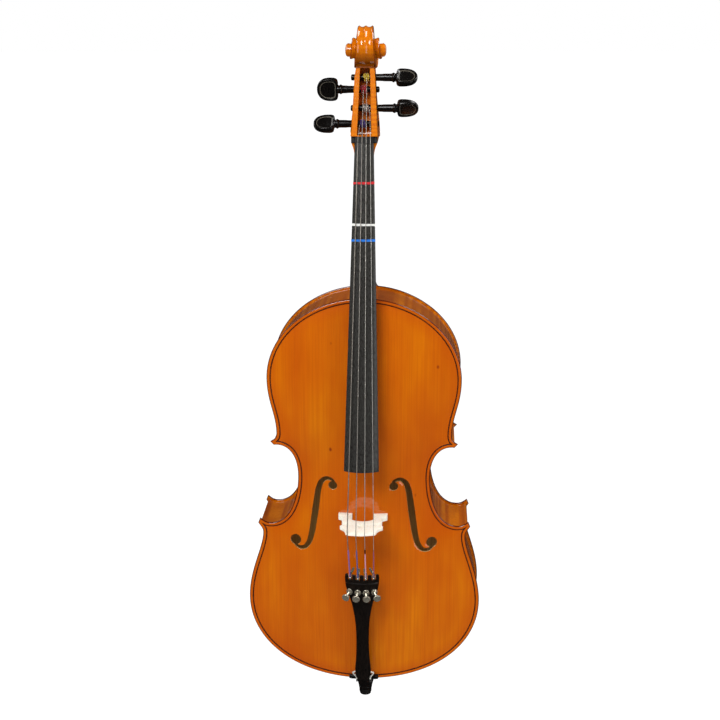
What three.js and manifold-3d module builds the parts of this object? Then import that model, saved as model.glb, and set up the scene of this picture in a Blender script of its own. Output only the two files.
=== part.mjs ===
// A full-size cello, built in millimetres: strings and belly face -Y, the scroll is up (+Z).
// Every piece is modelled in body coordinates (x across from the centre line, y back from the
// plane of the belly's edge, z up from the lower edge of the body) and shifted once at the end.
import * as THREE from "three";
import { mergeVertices } from "three/addons/utils/BufferGeometryUtils.js";
import Module from "manifold-3d";

const wasm = await Module();
wasm.setup();
const { Manifold } = wasm;

// ---------- driving dimensions ----------
const GAP = 0.3; // air left between neighbouring pieces
const SLIVER = 0.04; // cut edges shorter than this are closed up
const GRID = 0.01; // corners are rounded to this
const BODY_LENGTH = 755;
const BODY_DEPTH = 125; // outer edge of the belly to outer edge of the back
const PLATE = 4.5; // thickness of belly and back
const OVERHANG = 4; // plate edge beyond the ribs
const RIB = 1.6;
const LINING = 2;
const LINING_HEIGHT = 13;
const BELLY_ARCH = 25;
const BACK_ARCH = 24;
const STOP = 408; // upper edge of the body to the bridge
const BRIDGE_Z = BODY_LENGTH - STOP;
const BRIDGE_HALF_WIDTH = 45.5;
const NECK_RISE = 36; // fingerboard surface above the belly's edge plane at the body's end
const NECK_SLOPE = 0.18;
const NUT_Z = 1030.6; // playing edge of the nut
const NUT_LENGTH = 11;
const BOARD_END_Z = 455;
const BOARD_RADIUS = 62;
const BOARD_WIDTHS = [33.5, 63];
const BOARD_EDGE = 6;
const FOOT_DROP = 67; // end of the rubber foot below the body
const AXIS_Y = BODY_DEPTH / 2; // the end pin runs at mid depth
const SCROLL_EYE = { y: 72, z: 1188 };

const STRINGS = [
  { name: "c", side: -1.5, radius: 0.85, bridgeY: -114.5, color: "#b9b5b0", silk: "#8a6bb0" },
  { name: "g", side: -0.5, radius: 0.65, bridgeY: -117.6, color: "#c2c0bd", silk: "#a81f28" },
  { name: "d", side: 0.5, radius: 0.55, bridgeY: -117.0, color: "#c9c8c6", silk: "#d8b62c" },
  { name: "a", side: 1.5, radius: 0.45, bridgeY: -112.4, color: "#d0d0d0", silk: "#6f6f78" },
];
const BRIDGE_SPACING = 15.7;
const NUT_SPACING = 7.3;

// ---------- small helpers ----------
const lerp = (a, b, t) => a + (b - a) * t;
const clamp = (v, a, b) => Math.min(b, Math.max(a, v));
const range = (n) => Array.from({ length: n }, (_, i) => i);

// Points of a cubic curve, without its last point.
function cubic([a, b, c, d], count) {
  return range(count).map((i) => {
    const t = i / count;
    const u = 1 - t;
    const w = [u * u * u, 3 * u * u * t, 3 * u * t * t, t * t * t];
    return a.map((_, k) => w[0] * a[k] + w[1] * b[k] + w[2] * c[k] + w[3] * d[k]);
  });
}

// Piecewise-linear table lookup: table rows are [input, output].
function table(rows, v) {
  if (v <= rows[0][0]) return rows[0][1];
  for (let i = 1; i < rows.length; i++) {
    if (v <= rows[i][0]) {
      const t = (v - rows[i - 1][0]) / (rows[i][0] - rows[i - 1][0]);
      return lerp(rows[i - 1][1], rows[i][1], t);
    }
  }
  return rows[rows.length - 1][1];
}

// A closed geometry as a solid that can be joined and cut.
function solidOf(geometry) {
  geometry.deleteAttribute("normal");
  geometry.deleteAttribute("uv");
  const merged = mergeVertices(geometry, 1e-4);
  const { array } = merged.attributes.position;
  const corners = range(array.length / 3).map((i) => Array.from(array.slice(3 * i, 3 * i + 3)));
  const faces = [];
  for (let i = 0; i < merged.index.count; i += 3) {
    const [a, b, c] = [0, 1, 2].map((k) => merged.index.getX(i + k));
    if (a !== b && b !== c && a !== c) faces.push(a, b, c);
  }
  if (signedVolume(corners, faces) < 0) faces.reverse();
  const vertProperties = new Float32Array(array);
  return new Manifold(new wasm.Mesh({ numProp: 3, vertProperties, triVerts: new Uint32Array(faces) }));
}

function solid(points, faces) {
  const geometry = new THREE.BufferGeometry();
  geometry.setAttribute("position", new THREE.Float32BufferAttribute(points.flat(), 3));
  geometry.setIndex(faces);
  return solidOf(geometry);
}

// Triangles filling a flat ring, wound the way the ring runs.
function capFaces(ring) {
  const u = new THREE.Vector3(...ring[0]);
  const normal = new THREE.Vector3();
  for (let i = 1; i + 1 < ring.length; i++) {
    const a = new THREE.Vector3(...ring[i]).sub(u);
    normal.add(a.cross(new THREE.Vector3(...ring[i + 1]).sub(u)));
  }
  const size = normal.toArray().map(Math.abs);
  const drop = size.indexOf(Math.max(...size));
  const flat = ring.map((p) => p.filter((_, k) => k !== drop)).map(([a, b]) => new THREE.Vector2(a, b));
  const turn = Math.sign(THREE.ShapeUtils.area(flat));
  return THREE.ShapeUtils.triangulateShape(flat, []).map((t) => {
    const area = THREE.ShapeUtils.area(t.map((i) => flat[i]));
    return area * turn < 0 ? [t[0], t[2], t[1]] : t;
  });
}

// A closed solid through rings of equal point counts.
function loft(rings) {
  const n = rings[0].length;
  const points = rings.flat();
  const faces = [];
  for (let r = 0; r + 1 < rings.length; r++) {
    for (let i = 0; i < n; i++) {
      const a = r * n + i;
      const b = r * n + ((i + 1) % n);
      faces.push(a, b, b + n, a, b + n, a + n);
    }
  }
  const last = (rings.length - 1) * n;
  for (const [a, b, c] of capFaces(rings[0])) faces.push(c, b, a);
  for (const [a, b, c] of capFaces(rings[rings.length - 1])) faces.push(last + a, last + b, last + c);
  return solid(points, faces);
}

function signedVolume(points, faces) {
  let v = 0;
  for (let i = 0; i < faces.length; i += 3) {
    const [a, b, c] = [points[faces[i]], points[faces[i + 1]], points[faces[i + 2]]];
    v += a[0] * (b[1] * c[2] - b[2] * c[1]);
    v += a[1] * (b[2] * c[0] - b[0] * c[2]);
    v += a[2] * (b[0] * c[1] - b[1] * c[0]);
  }
  return v;
}

// A round bar along a path of points.
function sweep(path, radii, sides) {
  const pts = path.map((p) => new THREE.Vector3(...p));
  const side = new THREE.Vector3(0.3, 0.9, 0.1);
  const rings = pts.map((p, i) => {
    const before = pts[Math.max(0, i - 1)];
    const after = pts[Math.min(pts.length - 1, i + 1)];
    const dir = after.clone().sub(before).normalize();
    side.addScaledVector(dir, -side.dot(dir)).normalize();
    const up = dir.clone().cross(side);
    const r = Array.isArray(radii) ? radii[i] : radii;
    return range(sides).map((k) => {
      const a = (k / sides) * Math.PI * 2;
      const across = side.clone().multiplyScalar(r * Math.cos(a));
      return p.clone().add(across).addScaledVector(up, r * Math.sin(a)).toArray();
    });
  });
  return loft(rings);
}

// A turned piece: profile rows are [radius, height] along dir from origin.
function turned(profile, origin, dir, segments = 24) {
  const rows = profile[0][0] > 0 ? [...profile, profile[0]] : profile;
  const lathe = new THREE.LatheGeometry(rows.map(([r, h]) => new THREE.Vector2(r, h)), segments);
  const axis = new THREE.Vector3(...dir).normalize();
  lathe.applyQuaternion(new THREE.Quaternion().setFromUnitVectors(new THREE.Vector3(0, 1, 0), axis));
  return solidOf(lathe.translate(...origin));
}

const rod = (r, length, origin, dir, segments = 16) =>
  turned([[0, 0], [r, 0], [r, length], [0, length]], origin, dir, segments);

// The biggest body of a shape, dropping crumbs a cut leaves behind.
const largest = (shape) => shape.decompose().sort((a, b) => b.volume() - a.volume())[0];

// A box from its two corners.
function box(a, b) {
  const size = a.map((v, k) => b[k] - v);
  return solidOf(new THREE.BoxGeometry(...size).translate(...a.map((v, k) => v + size[k] / 2)));
}

// An outline of [u, v] points, with optional holes, extruded by depth.
function extruded(points, depth, holes = []) {
  const shape = new THREE.Shape(points.map(([u, v]) => new THREE.Vector2(u, v)));
  shape.holes = holes.map((hole) => new THREE.Path(hole.map(([u, v]) => new THREE.Vector2(u, v))));
  return new THREE.ExtrudeGeometry(shape, { depth, bevelEnabled: false });
}

// An outline in x and z, carried through the depth from y0 to y1.
const prism = (points, y0, y1) =>
  solidOf(extruded(points, y1 - y0).rotateX(Math.PI / 2).translate(0, y1, 0));

// An outline in x and y, standing across the strings from z0 to z1.
const upright = (points, z0, z1, holes) => solidOf(extruded(points, z1 - z0, holes).translate(0, 0, z0));

const disc = (x, z, r, y0, y1, segments = 16) => rod(r, y1 - y0, [x, y0, z], [0, 1, 0], segments);

// ---------- body outline ----------
// Right half, from the middle of the upper edge clockwise to the middle of the lower edge.
// Each run is a cubic; "spine" is where its ends meet the crown of the arch.
const RUNS = [
  { p: [[0, 755], [98, 755], [179, 687], [179, 603]], n: 10, spine: [640, 590] },
  { p: [[179, 603], [179, 558], [162.5, 535], [162.5, 497.5]], n: 5, spine: [590, 505] },
  { p: [[162.5, 497.5], [162.5, 487.5], [167.8, 486.3], [174.3, 481.8]], n: 3, spine: [505, 482] },
  { p: [[174.3, 481.8], [172.1, 479.5], [170, 477.2], [167.8, 474.9]], n: 1, spine: [482, 472] },
  { p: [[167.8, 474.9], [143, 478], [123, 457.5], [123, 415]], n: 6, spine: [472, 415] },
  { p: [[123, 415], [123, 380], [134.5, 320.4], [176.5, 320.4]], n: 6, spine: [415, 345] },
  { p: [[176.5, 320.4], [186, 320.4], [191, 326], [196, 329.5]], n: 3, spine: [345, 328] },
  { p: [[196, 329.5], [197.4, 326.5], [198.7, 323], [200, 319.5]], n: 1, spine: [328, 320] },
  { p: [[200, 319.5], [195, 311], [191, 309], [191, 301]], n: 3, spine: [320, 300] },
  { p: [[191, 301], [191, 270], [219.5, 223], [219.5, 168]], n: 6, spine: [300, 190] },
  { p: [[219.5, 168], [219.5, 71], [127, 0], [0, 0]], n: 12, spine: [190, 120] },
];
const HALF = RUNS.flatMap((run) =>
  cubic(run.p, run.n).map((p, i) => ({ p, spine: lerp(run.spine[0], run.spine[1], i / run.n) })),
);
HALF.push({ p: [0, 0], spine: 120 });
const FULL = [...HALF.map((h) => h.p), ...HALF.slice(1, -1).reverse().map((h) => [-h.p[0], h.p[1]])];

// Distance from a point to the outline.
function toOutline([x, z]) {
  let best = Infinity;
  for (let i = 0; i < FULL.length; i++) {
    const [a, b] = [FULL[i], FULL[(i + 1) % FULL.length]];
    const [ux, uz] = [b[0] - a[0], b[1] - a[1]];
    const t = clamp(((x - a[0]) * ux + (z - a[1]) * uz) / (ux * ux + uz * uz), 0, 1);
    best = Math.min(best, Math.hypot(x - a[0] - t * ux, z - a[1] - t * uz));
  }
  return best;
}

// The outline moved inwards by d; points that would crowd a corner are left out.
function inset(d) {
  const moved = FULL.map((p, i) => {
    const before = FULL[(i + FULL.length - 1) % FULL.length];
    const after = FULL[(i + 1) % FULL.length];
    const [n1, n2] = [[before, p], [p, after]].map(([a, b]) => {
      const length = Math.hypot(b[0] - a[0], b[1] - a[1]);
      return [(b[1] - a[1]) / length, -(b[0] - a[0]) / length];
    });
    const spread = 1 + n1[0] * n2[0] + n1[1] * n2[1];
    const reach = Math.min(d / spread, d * 1.2);
    return [p[0] + (n1[0] + n2[0]) * reach, p[1] + (n1[1] + n2[1]) * reach];
  });
  return moved.filter((p) => toOutline(p) > d * 0.97);
}
// A strip between two insets; linings and blocks also stop short of the lower corners' points.
const band = (outer, inner, y0, y1) =>
  prism(inset(outer), y0, y1).subtract(prism(inset(inner), y0 - 1, y1 + 1));

// Height of an arch, t running from the edge (0) to the crown (1).
const archProfile = (t, flat) => (1 - (1 - clamp((t - flat) / (1 - flat), 0, 1)) ** 2.2) ** 1.6;
const archAlong = (spine) => 1 - 0.14 * ((spine - 390) / 270) ** 2;
const LEVELS = [0, 0.07, 0.19, 0.4, 0.68, 1];

// One arched plate; outward is -1 for the belly and +1 for the back.
function plate(edgeY, arch, outward) {
  const rings = [];
  const ringAt = (t, height, flat) =>
    HALF.map(({ p, spine }) => [
      p[0] * (1 - t),
      edgeY + outward * (height + arch * archAlong(spine) * archProfile(t, flat)),
      lerp(p[1], spine, t),
    ]);
  for (const t of LEVELS) rings.push(ringAt(t, 0, 0.045));
  for (const t of LEVELS.slice().reverse()) rings.push(ringAt(t, -PLATE, 0.09));
  const points = [];
  const faces = [];
  for (const mirror of [1, -1]) {
    const base = points.length;
    for (const ring of rings) points.push(...ring.map(([x, y, z]) => [x * mirror, y, z]));
    const n = HALF.length;
    for (let r = 0; r < rings.length; r++) {
      if (r === LEVELS.length - 1) continue;
      const s = (r + 1) % rings.length;
      for (let i = 0; i + 1 < n; i++) {
        const [a, b, c, d] = [r * n + i, r * n + i + 1, s * n + i + 1, s * n + i].map((v) => v + base);
        faces.push(...(mirror > 0 ? [a, b, c, a, c, d] : [a, c, b, a, d, c]));
      }
    }
  }
  return solid(points, faces);
}

// ---------- sound holes ----------
// Middle line of the right-hand hole with its width: [x, z, width].
const F_LINE = [
  [54, 411, 5], [60, 415.6, 6.2], [69, 416.6, 7.6], [78, 409.5, 9.2], [83.4, 396, 10.6],
  [87, 375, 11.6], [90, 353, 12.2], [93.4, 330, 11.8], [97.4, 306, 10.8], [103.4, 287, 9.4],
  [112, 277.4, 8.2], [122, 277, 6.8], [130, 283.5, 4.8],
];
const F_UPPER_EYE = { x: 56.5, z: 404, r: 8.2 };
const F_LOWER_EYE = { x: 128, z: 291, r: 10 };
const NICK = { reach: 8.6, half: 2.6 };

function soundHole() {
  const path = new THREE.CatmullRomCurve3(F_LINE.map(([x, z, w]) => new THREE.Vector3(x, z, w)));
  const steps = 18;
  const left = [];
  const right = [];
  for (let i = 0; i <= steps; i++) {
    const p = path.getPoint(i / steps);
    const d = path.getTangent(i / steps).setZ(0).normalize();
    left.push([p.x - d.y * p.z * 0.5, p.y + d.x * p.z * 0.5]);
    right.push([p.x + d.y * p.z * 0.5, p.y - d.x * p.z * 0.5]);
  }
  const nick = [
    [90 - NICK.reach, 353], [90, 353 + NICK.half], [90 + NICK.reach, 353], [90, 353 - NICK.half],
  ];
  return prism([...left, ...right.reverse()], -40, 10)
    .add(disc(F_UPPER_EYE.x, F_UPPER_EYE.z, F_UPPER_EYE.r, -40, 10, 12))
    .add(disc(F_LOWER_EYE.x, F_LOWER_EYE.z, F_LOWER_EYE.r, -40, 10, 14))
    .add(prism(nick, -40, 10));
}

// ---------- neck and scroll ----------
const boardY = (z) => -NECK_RISE + NECK_SLOPE * (z - BODY_LENGTH); // crown of the fingerboard
const boardHalf = (z) => lerp(BOARD_WIDTHS[0], BOARD_WIDTHS[1], (NUT_Z - z) / (NUT_Z - BOARD_END_Z)) / 2;
const sag = (x) => BOARD_RADIUS - Math.sqrt(BOARD_RADIUS ** 2 - x ** 2);
const UNDER_NUT = boardY(NUT_Z) + sag(boardHalf(NUT_Z)) + BOARD_EDGE;
const UNDER_END = boardY(BOARD_END_Z) + sag(boardHalf(BOARD_END_Z)) + BOARD_EDGE;
const underY = (z) => lerp(UNDER_NUT, UNDER_END, (NUT_Z - z) / (NUT_Z - BOARD_END_Z)); // glue face

// Pegbox: front edge, floor and back against height, and half widths.
const BOX_TOP = 1166;
const boxFront = (z) => 17 + 0.225 * (z - 1042);
const boxFloor = (z) => boxFront(z) + table([[1042, 34], [1100, 33], [1160, 25]], z);
const boxBack = (z) => boxFloor(z) + table([[1030, 7], [1045, 10], [1160, 12]], z);
const boxHalf = (z) => lerp(23.4, 17.3, (z - 1042) / 118);
const hollowHalf = (z) => lerp(12.3, 8.9, (z - 1042) / 118);

// Scroll spiral about the eye: angle in turns from straight up, running forward and down.
const SPIRAL = [
  [-0.32, 46], [0, 42], [0.25, 37], [0.5, 29], [0.75, 24.5], [1, 21.5], [1.25, 18], [1.5, 15.5], [1.75, 13.5],
  [2, 11.6],
];
const SPIRAL_HALF = [
  [-0.32, 14.6], [0, 13.4], [0.25, 16.2], [0.5, 20.4], [0.75, 22], [1, 23.6], [1.25, 26], [1.5, 28.6],
  [1.75, 31.2], [2, 34],
];
const spiralPoint = (turn, x) => {
  const r = table(SPIRAL, turn);
  const angle = turn * 2 * Math.PI;
  return [x, SCROLL_EYE.y - r * Math.sin(angle), SCROLL_EYE.z + r * Math.cos(angle)];
};

function scrollTurn(from, to, steps) {
  const rings = [-1, 1].map((s) => {
    const ring = range(steps + 1).map((i) => {
      const turn = lerp(from, to, i / steps);
      return spiralPoint(turn, s * table(SPIRAL_HALF, turn));
    });
    return ring;
  });
  return loft(rings);
}

// D-shaped neck section at height z.
function neckRing(z) {
  const w = boardHalf(z) - 0.4;
  const depth = table([[800, 26], [900, 23.5], [1010, 21], [1040, 24]], z);
  const y = underY(z) + GAP;
  const arc = range(13).map((i) => {
    const a = (i / 12) * Math.PI;
    return [w * Math.cos(a), y + 2.5 + (depth - 2.5) * Math.sin(a) ** 0.85, z];
  });
  return [[w, y, z], ...arc, [-w, y, z]];
}

// Heel: flat sections in x and z, stacked front to back. Rows are [y, outer z, half width].
const HEEL = [
  [-30, 850, 22.5], [-12, 836, 22.6], [0, 820, 22.4], [10, 800, 22], [25, 783, 21.2], [50, 771, 20],
  [85, 765, 18.5], [120.2, 763, 17],
];
const HEEL_ROOT_Z = 745;
const heel = (grow) =>
  loft(HEEL.map(([y, top, w], i) => {
    const half = w + grow;
    const depthY = i === HEEL.length - 1 ? y + grow : y;
    const arc = range(9).map((k) => {
      const a = (k / 8) * Math.PI;
      const z = lerp(top - 9, top + grow, Math.sin(a) ** 0.7);
      return [half * Math.cos(a) * (1 - 0.08 * Math.sin(a)), depthY, z];
    });
    return [[half, depthY, HEEL_ROOT_Z - grow], ...arc, [-half, depthY, HEEL_ROOT_Z - grow]];
  }));

const PEGS = [
  { name: "c", z: 1062, side: -1, turn: 33, headX: 53.5 },
  { name: "a", z: 1089, side: 1, turn: -39, headX: 56.8 },
  { name: "g", z: 1121, side: -1, turn: -72, headX: 48 },
  { name: "d", z: 1141.5, side: 1, turn: 33, headX: 54.5 },
].map((p) => ({ ...p, y: boxFront(p.z) + 19 }));

const PEG_TIP_X = 25; // small end of a peg, just past the far cheek
const pegRadius = (x) => lerp(5.3, 6.4, (x + PEG_TIP_X) / 60); // x towards the head

function neckPiece() {
  const shaft = loft([800, 850, 900, 950, 1000, 1030].map(neckRing));
  const boxRing = (z) => {
    const w = boxHalf(z);
    const [f, b] = [Math.max(boxFront(z), underY(z) + GAP), boxBack(z)];
    const right = [[w, f, z], [w, b - 9, z], [w * 0.72, b - 1.5, z]];
    return [[-w, f, z], ...right, [0, b, z], [-w * 0.72, b - 1.5, z], [-w, b - 9, z]];
  };
  const cheek = loft([1042, 1070, 1110, 1140, BOX_TOP].map(boxRing));
  const chin = loft([
    neckRing(1022).filter((_, i) => i % 2 === 0).map(([x, y]) => [x, y, 1022]),
    neckRing(1022).filter((_, i) => i % 2 === 0).map(([x, y]) => {
      const t = clamp((y - underY(1022)) / 22, 0, 1);
      return [(x / boardHalf(1022)) * 23.2, lerp(underY(1043) + GAP, boxBack(1043), t), 1043];
    }),
  ]);
  const bend = loft([
    boxRing(BOX_TOP - 30),
    boxRing(BOX_TOP).map(([x, y]) => [x * 0.93, y + 4, BOX_TOP + 4]),
    boxRing(BOX_TOP).map(([x, y]) => [x * 0.86, SCROLL_EYE.y + lerp(10, 45, (y - 44) / 38), 1192]),
  ]);
  const hollow = loft([1043.5, 1100, 1152].map((z) => {
    const w = hollowHalf(z);
    return [[-w, boxFront(z) - 20, z], [w, boxFront(z) - 20, z], [w, boxFloor(z), z], [-w, boxFloor(z), z]];
  }));
  const eyes = rod(11.4, 70, [-35, SCROLL_EYE.y, SCROLL_EYE.z], [1, 0, 0], 20);
  let neck = shaft.add(chin).add(cheek).add(bend).add(heel(0));
  neck = neck.subtract(hollow);
  neck = neck.add(scrollTurn(-0.32, 0.68, 24)).add(scrollTurn(0.7, 1.7, 20)).add(eyes);
  const overBoard = loft([700, NUT_Z + NUT_LENGTH + GAP].map((z) => {
    const y = underY(z) + GAP;
    return [[-60, y, z], [60, y, z], [60, y - 80, z], [-60, y - 80, z]];
  }));
  neck = neck.subtract(overBoard);
  for (const peg of PEGS) {
    const bore = [[0, -30], [pegRadius(-30) + GAP, -30], [pegRadius(35) + GAP, 35], [0, 35]];
    neck = neck.subtract(turned(bore, [0, peg.y, peg.z], [peg.side, 0, 0], 16));
  }
  return neck;
}

// ---------- fingerboard, nut, tapes ----------
function boardRing(z, top = 0, reach = 1) {
  const w = boardHalf(z) * reach;
  const arc = range(13).map((i) => {
    const x = lerp(-w, w, i / 12);
    return [x, boardY(z) + sag(x) - top, z];
  });
  return [...arc, [w, underY(z), z], [-w, underY(z), z]];
}

function fingerboard() {
  const board = loft([NUT_Z - GAP, 900, 755, 600, BOARD_END_Z].map((z) => boardRing(z)));
  const scoop = loft([BOARD_END_Z - 1, 735].map((z) => {
    const w = boardHalf(z) * 0.72;
    return range(9).map((i) => {
      const a = (i / 8) * Math.PI;
      return [w * Math.cos(a), underY(z) + 0.5 - 7 * Math.sin(a) * (z < 600 ? 1 : 0.35), z];
    });
  }));
  return board.subtract(scoop);
}

// A paper-thin band over the fingerboard at height z.
function tape(z, width) {
  const bands = [z - width / 2, z + width / 2].map((h) => {
    const w = boardHalf(h);
    const arc = (lift) => range(9).map((i) => {
      const x = lerp(-w, w, i / 8);
      return [x, boardY(h) + sag(x) - lift, h];
    });
    return [...arc(0.45), ...arc(0.15).reverse()];
  });
  return loft(bands);
}

// ---------- strings ----------
const bridgeX = (s) => s.side * BRIDGE_SPACING;
const nutX = (s) => s.side * NUT_SPACING;
const tailX = (s) => s.side * 14.6;
const NUT_CROWN = 1.2; // nut above the fingerboard
const nutY = (s) => boardY(NUT_Z) + sag(nutX(s)) - NUT_CROWN - 0.1;
const TAIL_Z = 241;
const tailSurface = (x, z) => -30 - 0.176 * (z - 20) + x * x * 0.0085;
const tailY = (s) => tailSurface(tailX(s), TAIL_Z) + 0.2;

function stringPath(s) {
  const peg = PEGS.find((p) => p.name === s.name);
  const drum = 8.4;
  return [
    [tailX(s), tailY(s), TAIL_Z],
    [bridgeX(s), s.bridgeY - s.radius + 0.5, BRIDGE_Z - 3],
    [bridgeX(s), s.bridgeY - s.radius, BRIDGE_Z],
    [bridgeX(s), s.bridgeY - s.radius + 0.4, BRIDGE_Z + 3],
    [nutX(s), nutY(s), NUT_Z],
    [nutX(s), nutY(s) + 1.4, NUT_Z + 6],
    [nutX(s) * 0.8, peg.y - drum - s.radius - GAP, peg.z - 1],
  ];
}
const stringBar = (s, grow, sides = 8) => sweep(stringPath(s), s.radius + grow, sides);
function stringPiece(s) {
  const ball = rod(2.4, 3.6, [tailX(s) - 1.8, tailY(s), TAIL_Z - 1], [1, 0, 0], 12);
  return stringBar(s, 0).add(ball);
}

// Turns of string on a peg: a ridged sleeve.
function winding(s) {
  const peg = PEGS.find((p) => p.name === s.name);
  const profile = [];
  const turns = 4;
  const pitch = 2.6;
  for (const i of range(turns)) {
    profile.push([7.5, i * pitch], [8.3, (i + 0.5) * pitch]);
  }
  profile.push([7.5, turns * pitch]);
  const inner = pegRadius(8) + GAP;
  const closed = [[inner, 0], ...profile, [inner, turns * pitch]];
  const start = nutX(s) * 0.8 - (turns * pitch) / 2;
  return turned(closed, [clamp(start, -8.2, 8.2 - turns * pitch), peg.y, peg.z], [1, 0, 0], 12);
}

function pegPiece(peg) {
  const s = peg.side;
  const reach = peg.headX;
  const tip = [[0, -PEG_TIP_X], [4.4, -PEG_TIP_X], [pegRadius(1 - PEG_TIP_X), 1 - PEG_TIP_X]];
  const collar = [[6.8, reach - 6], [8.4, reach - 5], [8.4, reach - 2.6], [7.2, reach - 1.6]];
  const profile = [
    ...tip, [pegRadius(30), 30], [6.8, 34], ...collar, [8, reach], [7.4, reach + 3], [0, reach + 3],
  ];
  const shaft = turned(profile, [0, peg.y, peg.z], [s, 0, 0], 16);
  const half = [[0, 12], [2.4, 17.4], [8, 20], [20, 20.2], [29, 17.4], [35, 9.6]];
  const rim = [...half, [37.6, 0], ...half.slice().reverse().map(([u, v]) => [u, -v])];
  const rings = [[-7.4, 0.74], [-3, 1], [3, 1], [7.4, 0.74]].map(([t, k]) =>
    rim.map(([u, v]) => [19 + (u - 19) * k, v * k, t]),
  );
  const head = loft(rings)
    .rotate([peg.turn, 0, 0])
    .translate([peg.headX, 0, 0]);
  const placed = (s > 0 ? head : head.mirror([1, 0, 0])).translate([0, peg.y, peg.z]);
  return shaft.add(placed);
}

// ---------- bridge ----------
const bellyY = (x, z) => -BELLY_ARCH * archAlong(z) * archProfile(1 - Math.abs(x) / 170, 0.045);
function bridgePiece(cuts) {
  const base = bellyY(0, BRIDGE_Z);
  const up = (x, h) => [x, base - h];
  const crown = [
    [-27, 84], [-23.5, 88.4], [-15, 90.8], [-8, 92.2], [0, 92.8], [8, 91.8], [15, 89.6], [23.5, 86.4], [27, 82],
  ];
  const sideRight = [
    [29, 74], [33, 66], [38, 60], [38.5, 55], [33, 53], [25, 55], [21, 51], [23, 46], [30, 44], [36, 40],
    [36.5, 33], [34, 26], [36, 15], [41, 9.5], [BRIDGE_HALF_WIDTH, 6], [BRIDGE_HALF_WIDTH, -9],
  ];
  const legRight = [[20, -9], [20, 5], [24, 9], [24.5, 18], [19, 28], [10, 34]];
  const right = [...sideRight, ...legRight];
  const outline = [...crown, ...right, [0, 35], ...right.slice().reverse().map(([x, h]) => [-x, h])];
  const heart = [[0, 49], [5, 54], [6, 59], [3, 61.5], [0, 59.5], [-3, 61.5], [-6, 59], [-5, 54]];
  const face = outline.map(([x, h]) => up(x, h));
  const blank = upright(face, BRIDGE_Z - 7, BRIDGE_Z + 7, [heart.map(([x, h]) => up(x, h))]);
  const wedge = loft([-60, 60].map((x) => [
    [x, base + 12, BRIDGE_Z - 5.8], [x, base + 12, BRIDGE_Z + 5.8],
    [x, base - 96, BRIDGE_Z + 1.5], [x, base - 96, BRIDGE_Z - 1.5],
  ]));
  let bridge = blank.intersect(wedge);
  for (const cut of cuts) bridge = bridge.subtract(cut);
  return bridge;
}

// ---------- tailpiece with built-in tuners ----------
const TAIL_HALF = [
  [18, 11], [24, 14.5], [34, 15.4], [70, 12.6], [112, 12], [150, 14], [185, 20], [212, 29], [232, 31.5],
  [243, 31.5], [249, 24], [256, 10],
];
const FRET_Z = 229;
const TUNERS = STRINGS.map((s) => ({
  ...s,
  x: s.side * 15.2,
  lean: s.side * 11.2,
  z: 211,
}));

function tailpiece(cuts) {
  const levels = TAIL_HALF.map(([z, w]) => {
    const top = range(9).map((i) => {
      const x = lerp(-w, w, i / 8);
      return [x, tailSurface(x, z) - Math.max(0, 3 - Math.abs(x) * 0.25) * (z < 180 && z > 30 ? 1 : 0), z];
    });
    const under = tailSurface(0, z) + table([[24, 8], [60, 7], [120, 5], [190, 6], [232, 12], [256, 6]], z);
    return [...top, [w * 0.94, under, z], [-w * 0.94, under, z]];
  });
  let piece = loft(levels);
  const hollow = loft([[198, 16], [212, 25], [240, 27.5], [250, 19], [262, 14]].map(([z, w]) => {
    const top = range(7).map((i) => {
      const x = lerp(-w, w, i / 6);
      return [x, tailSurface(x, z) + 3.4, z];
    });
    return [...top, [w, tailSurface(w, z) + 30, z], [-w, tailSurface(w, z) + 30, z]];
  }));
  const fretRise = [[-1.6, 0.4], [-0.8, 2], [0.8, 2], [1.6, 0.4]];
  const fret = loft(fretRise.map(([dz, lift]) => {
    const z = FRET_Z + dz;
    const arc = (d) => range(9).map((i) => {
      const x = lerp(-31, 31, i / 8);
      return [x, tailSurface(x, z) - d, z];
    });
    return [...arc(lift), ...arc(-1).reverse()];
  }));
  piece = piece.subtract(hollow).add(fret);
  for (const cut of cuts) piece = piece.subtract(cut);
  return piece;
}

// Screw axis of a tuner: out of the tailpiece, fanned sideways.
function tunerAxis(t) {
  const lean = (t.lean * Math.PI) / 180;
  const v = new THREE.Vector3(Math.sin(lean), -Math.cos(lean), 0);
  return v.applyAxisAngle(new THREE.Vector3(1, 0, 0), Math.atan(0.176)).toArray();
}
const tunerBase = (t) => [t.x, tailSurface(t.x, t.z), t.z];
const along = (o, d, k) => o.map((v, i) => v + d[i] * k);

const KNOB = [[2.7, 0], [6, 0.4], [6.9, 1.2], [6.9, 3.4], [6, 4.6], [0, 4.9], [0, 3.6], [2.7, 3.6]];
const knob = (t) => turned(KNOB, along(tunerBase(t), tunerAxis(t), 19.5), tunerAxis(t), 16);
const screw = (t) => {
  const axis = tunerAxis(t);
  return rod(2.4, 28, along(tunerBase(t), axis, -5.2), axis, 14);
};
const COLLAR = [[2.4 + GAP, 0], [6.2, 0], [6.2, 2], [5.2, 3.4], [4.2, 5], [2.4 + GAP, 5]];
const collar = (t) => {
  const axis = tunerAxis(t);
  return turned(COLLAR, along(tunerBase(t), axis, 0.6), axis, 14);
};

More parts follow.
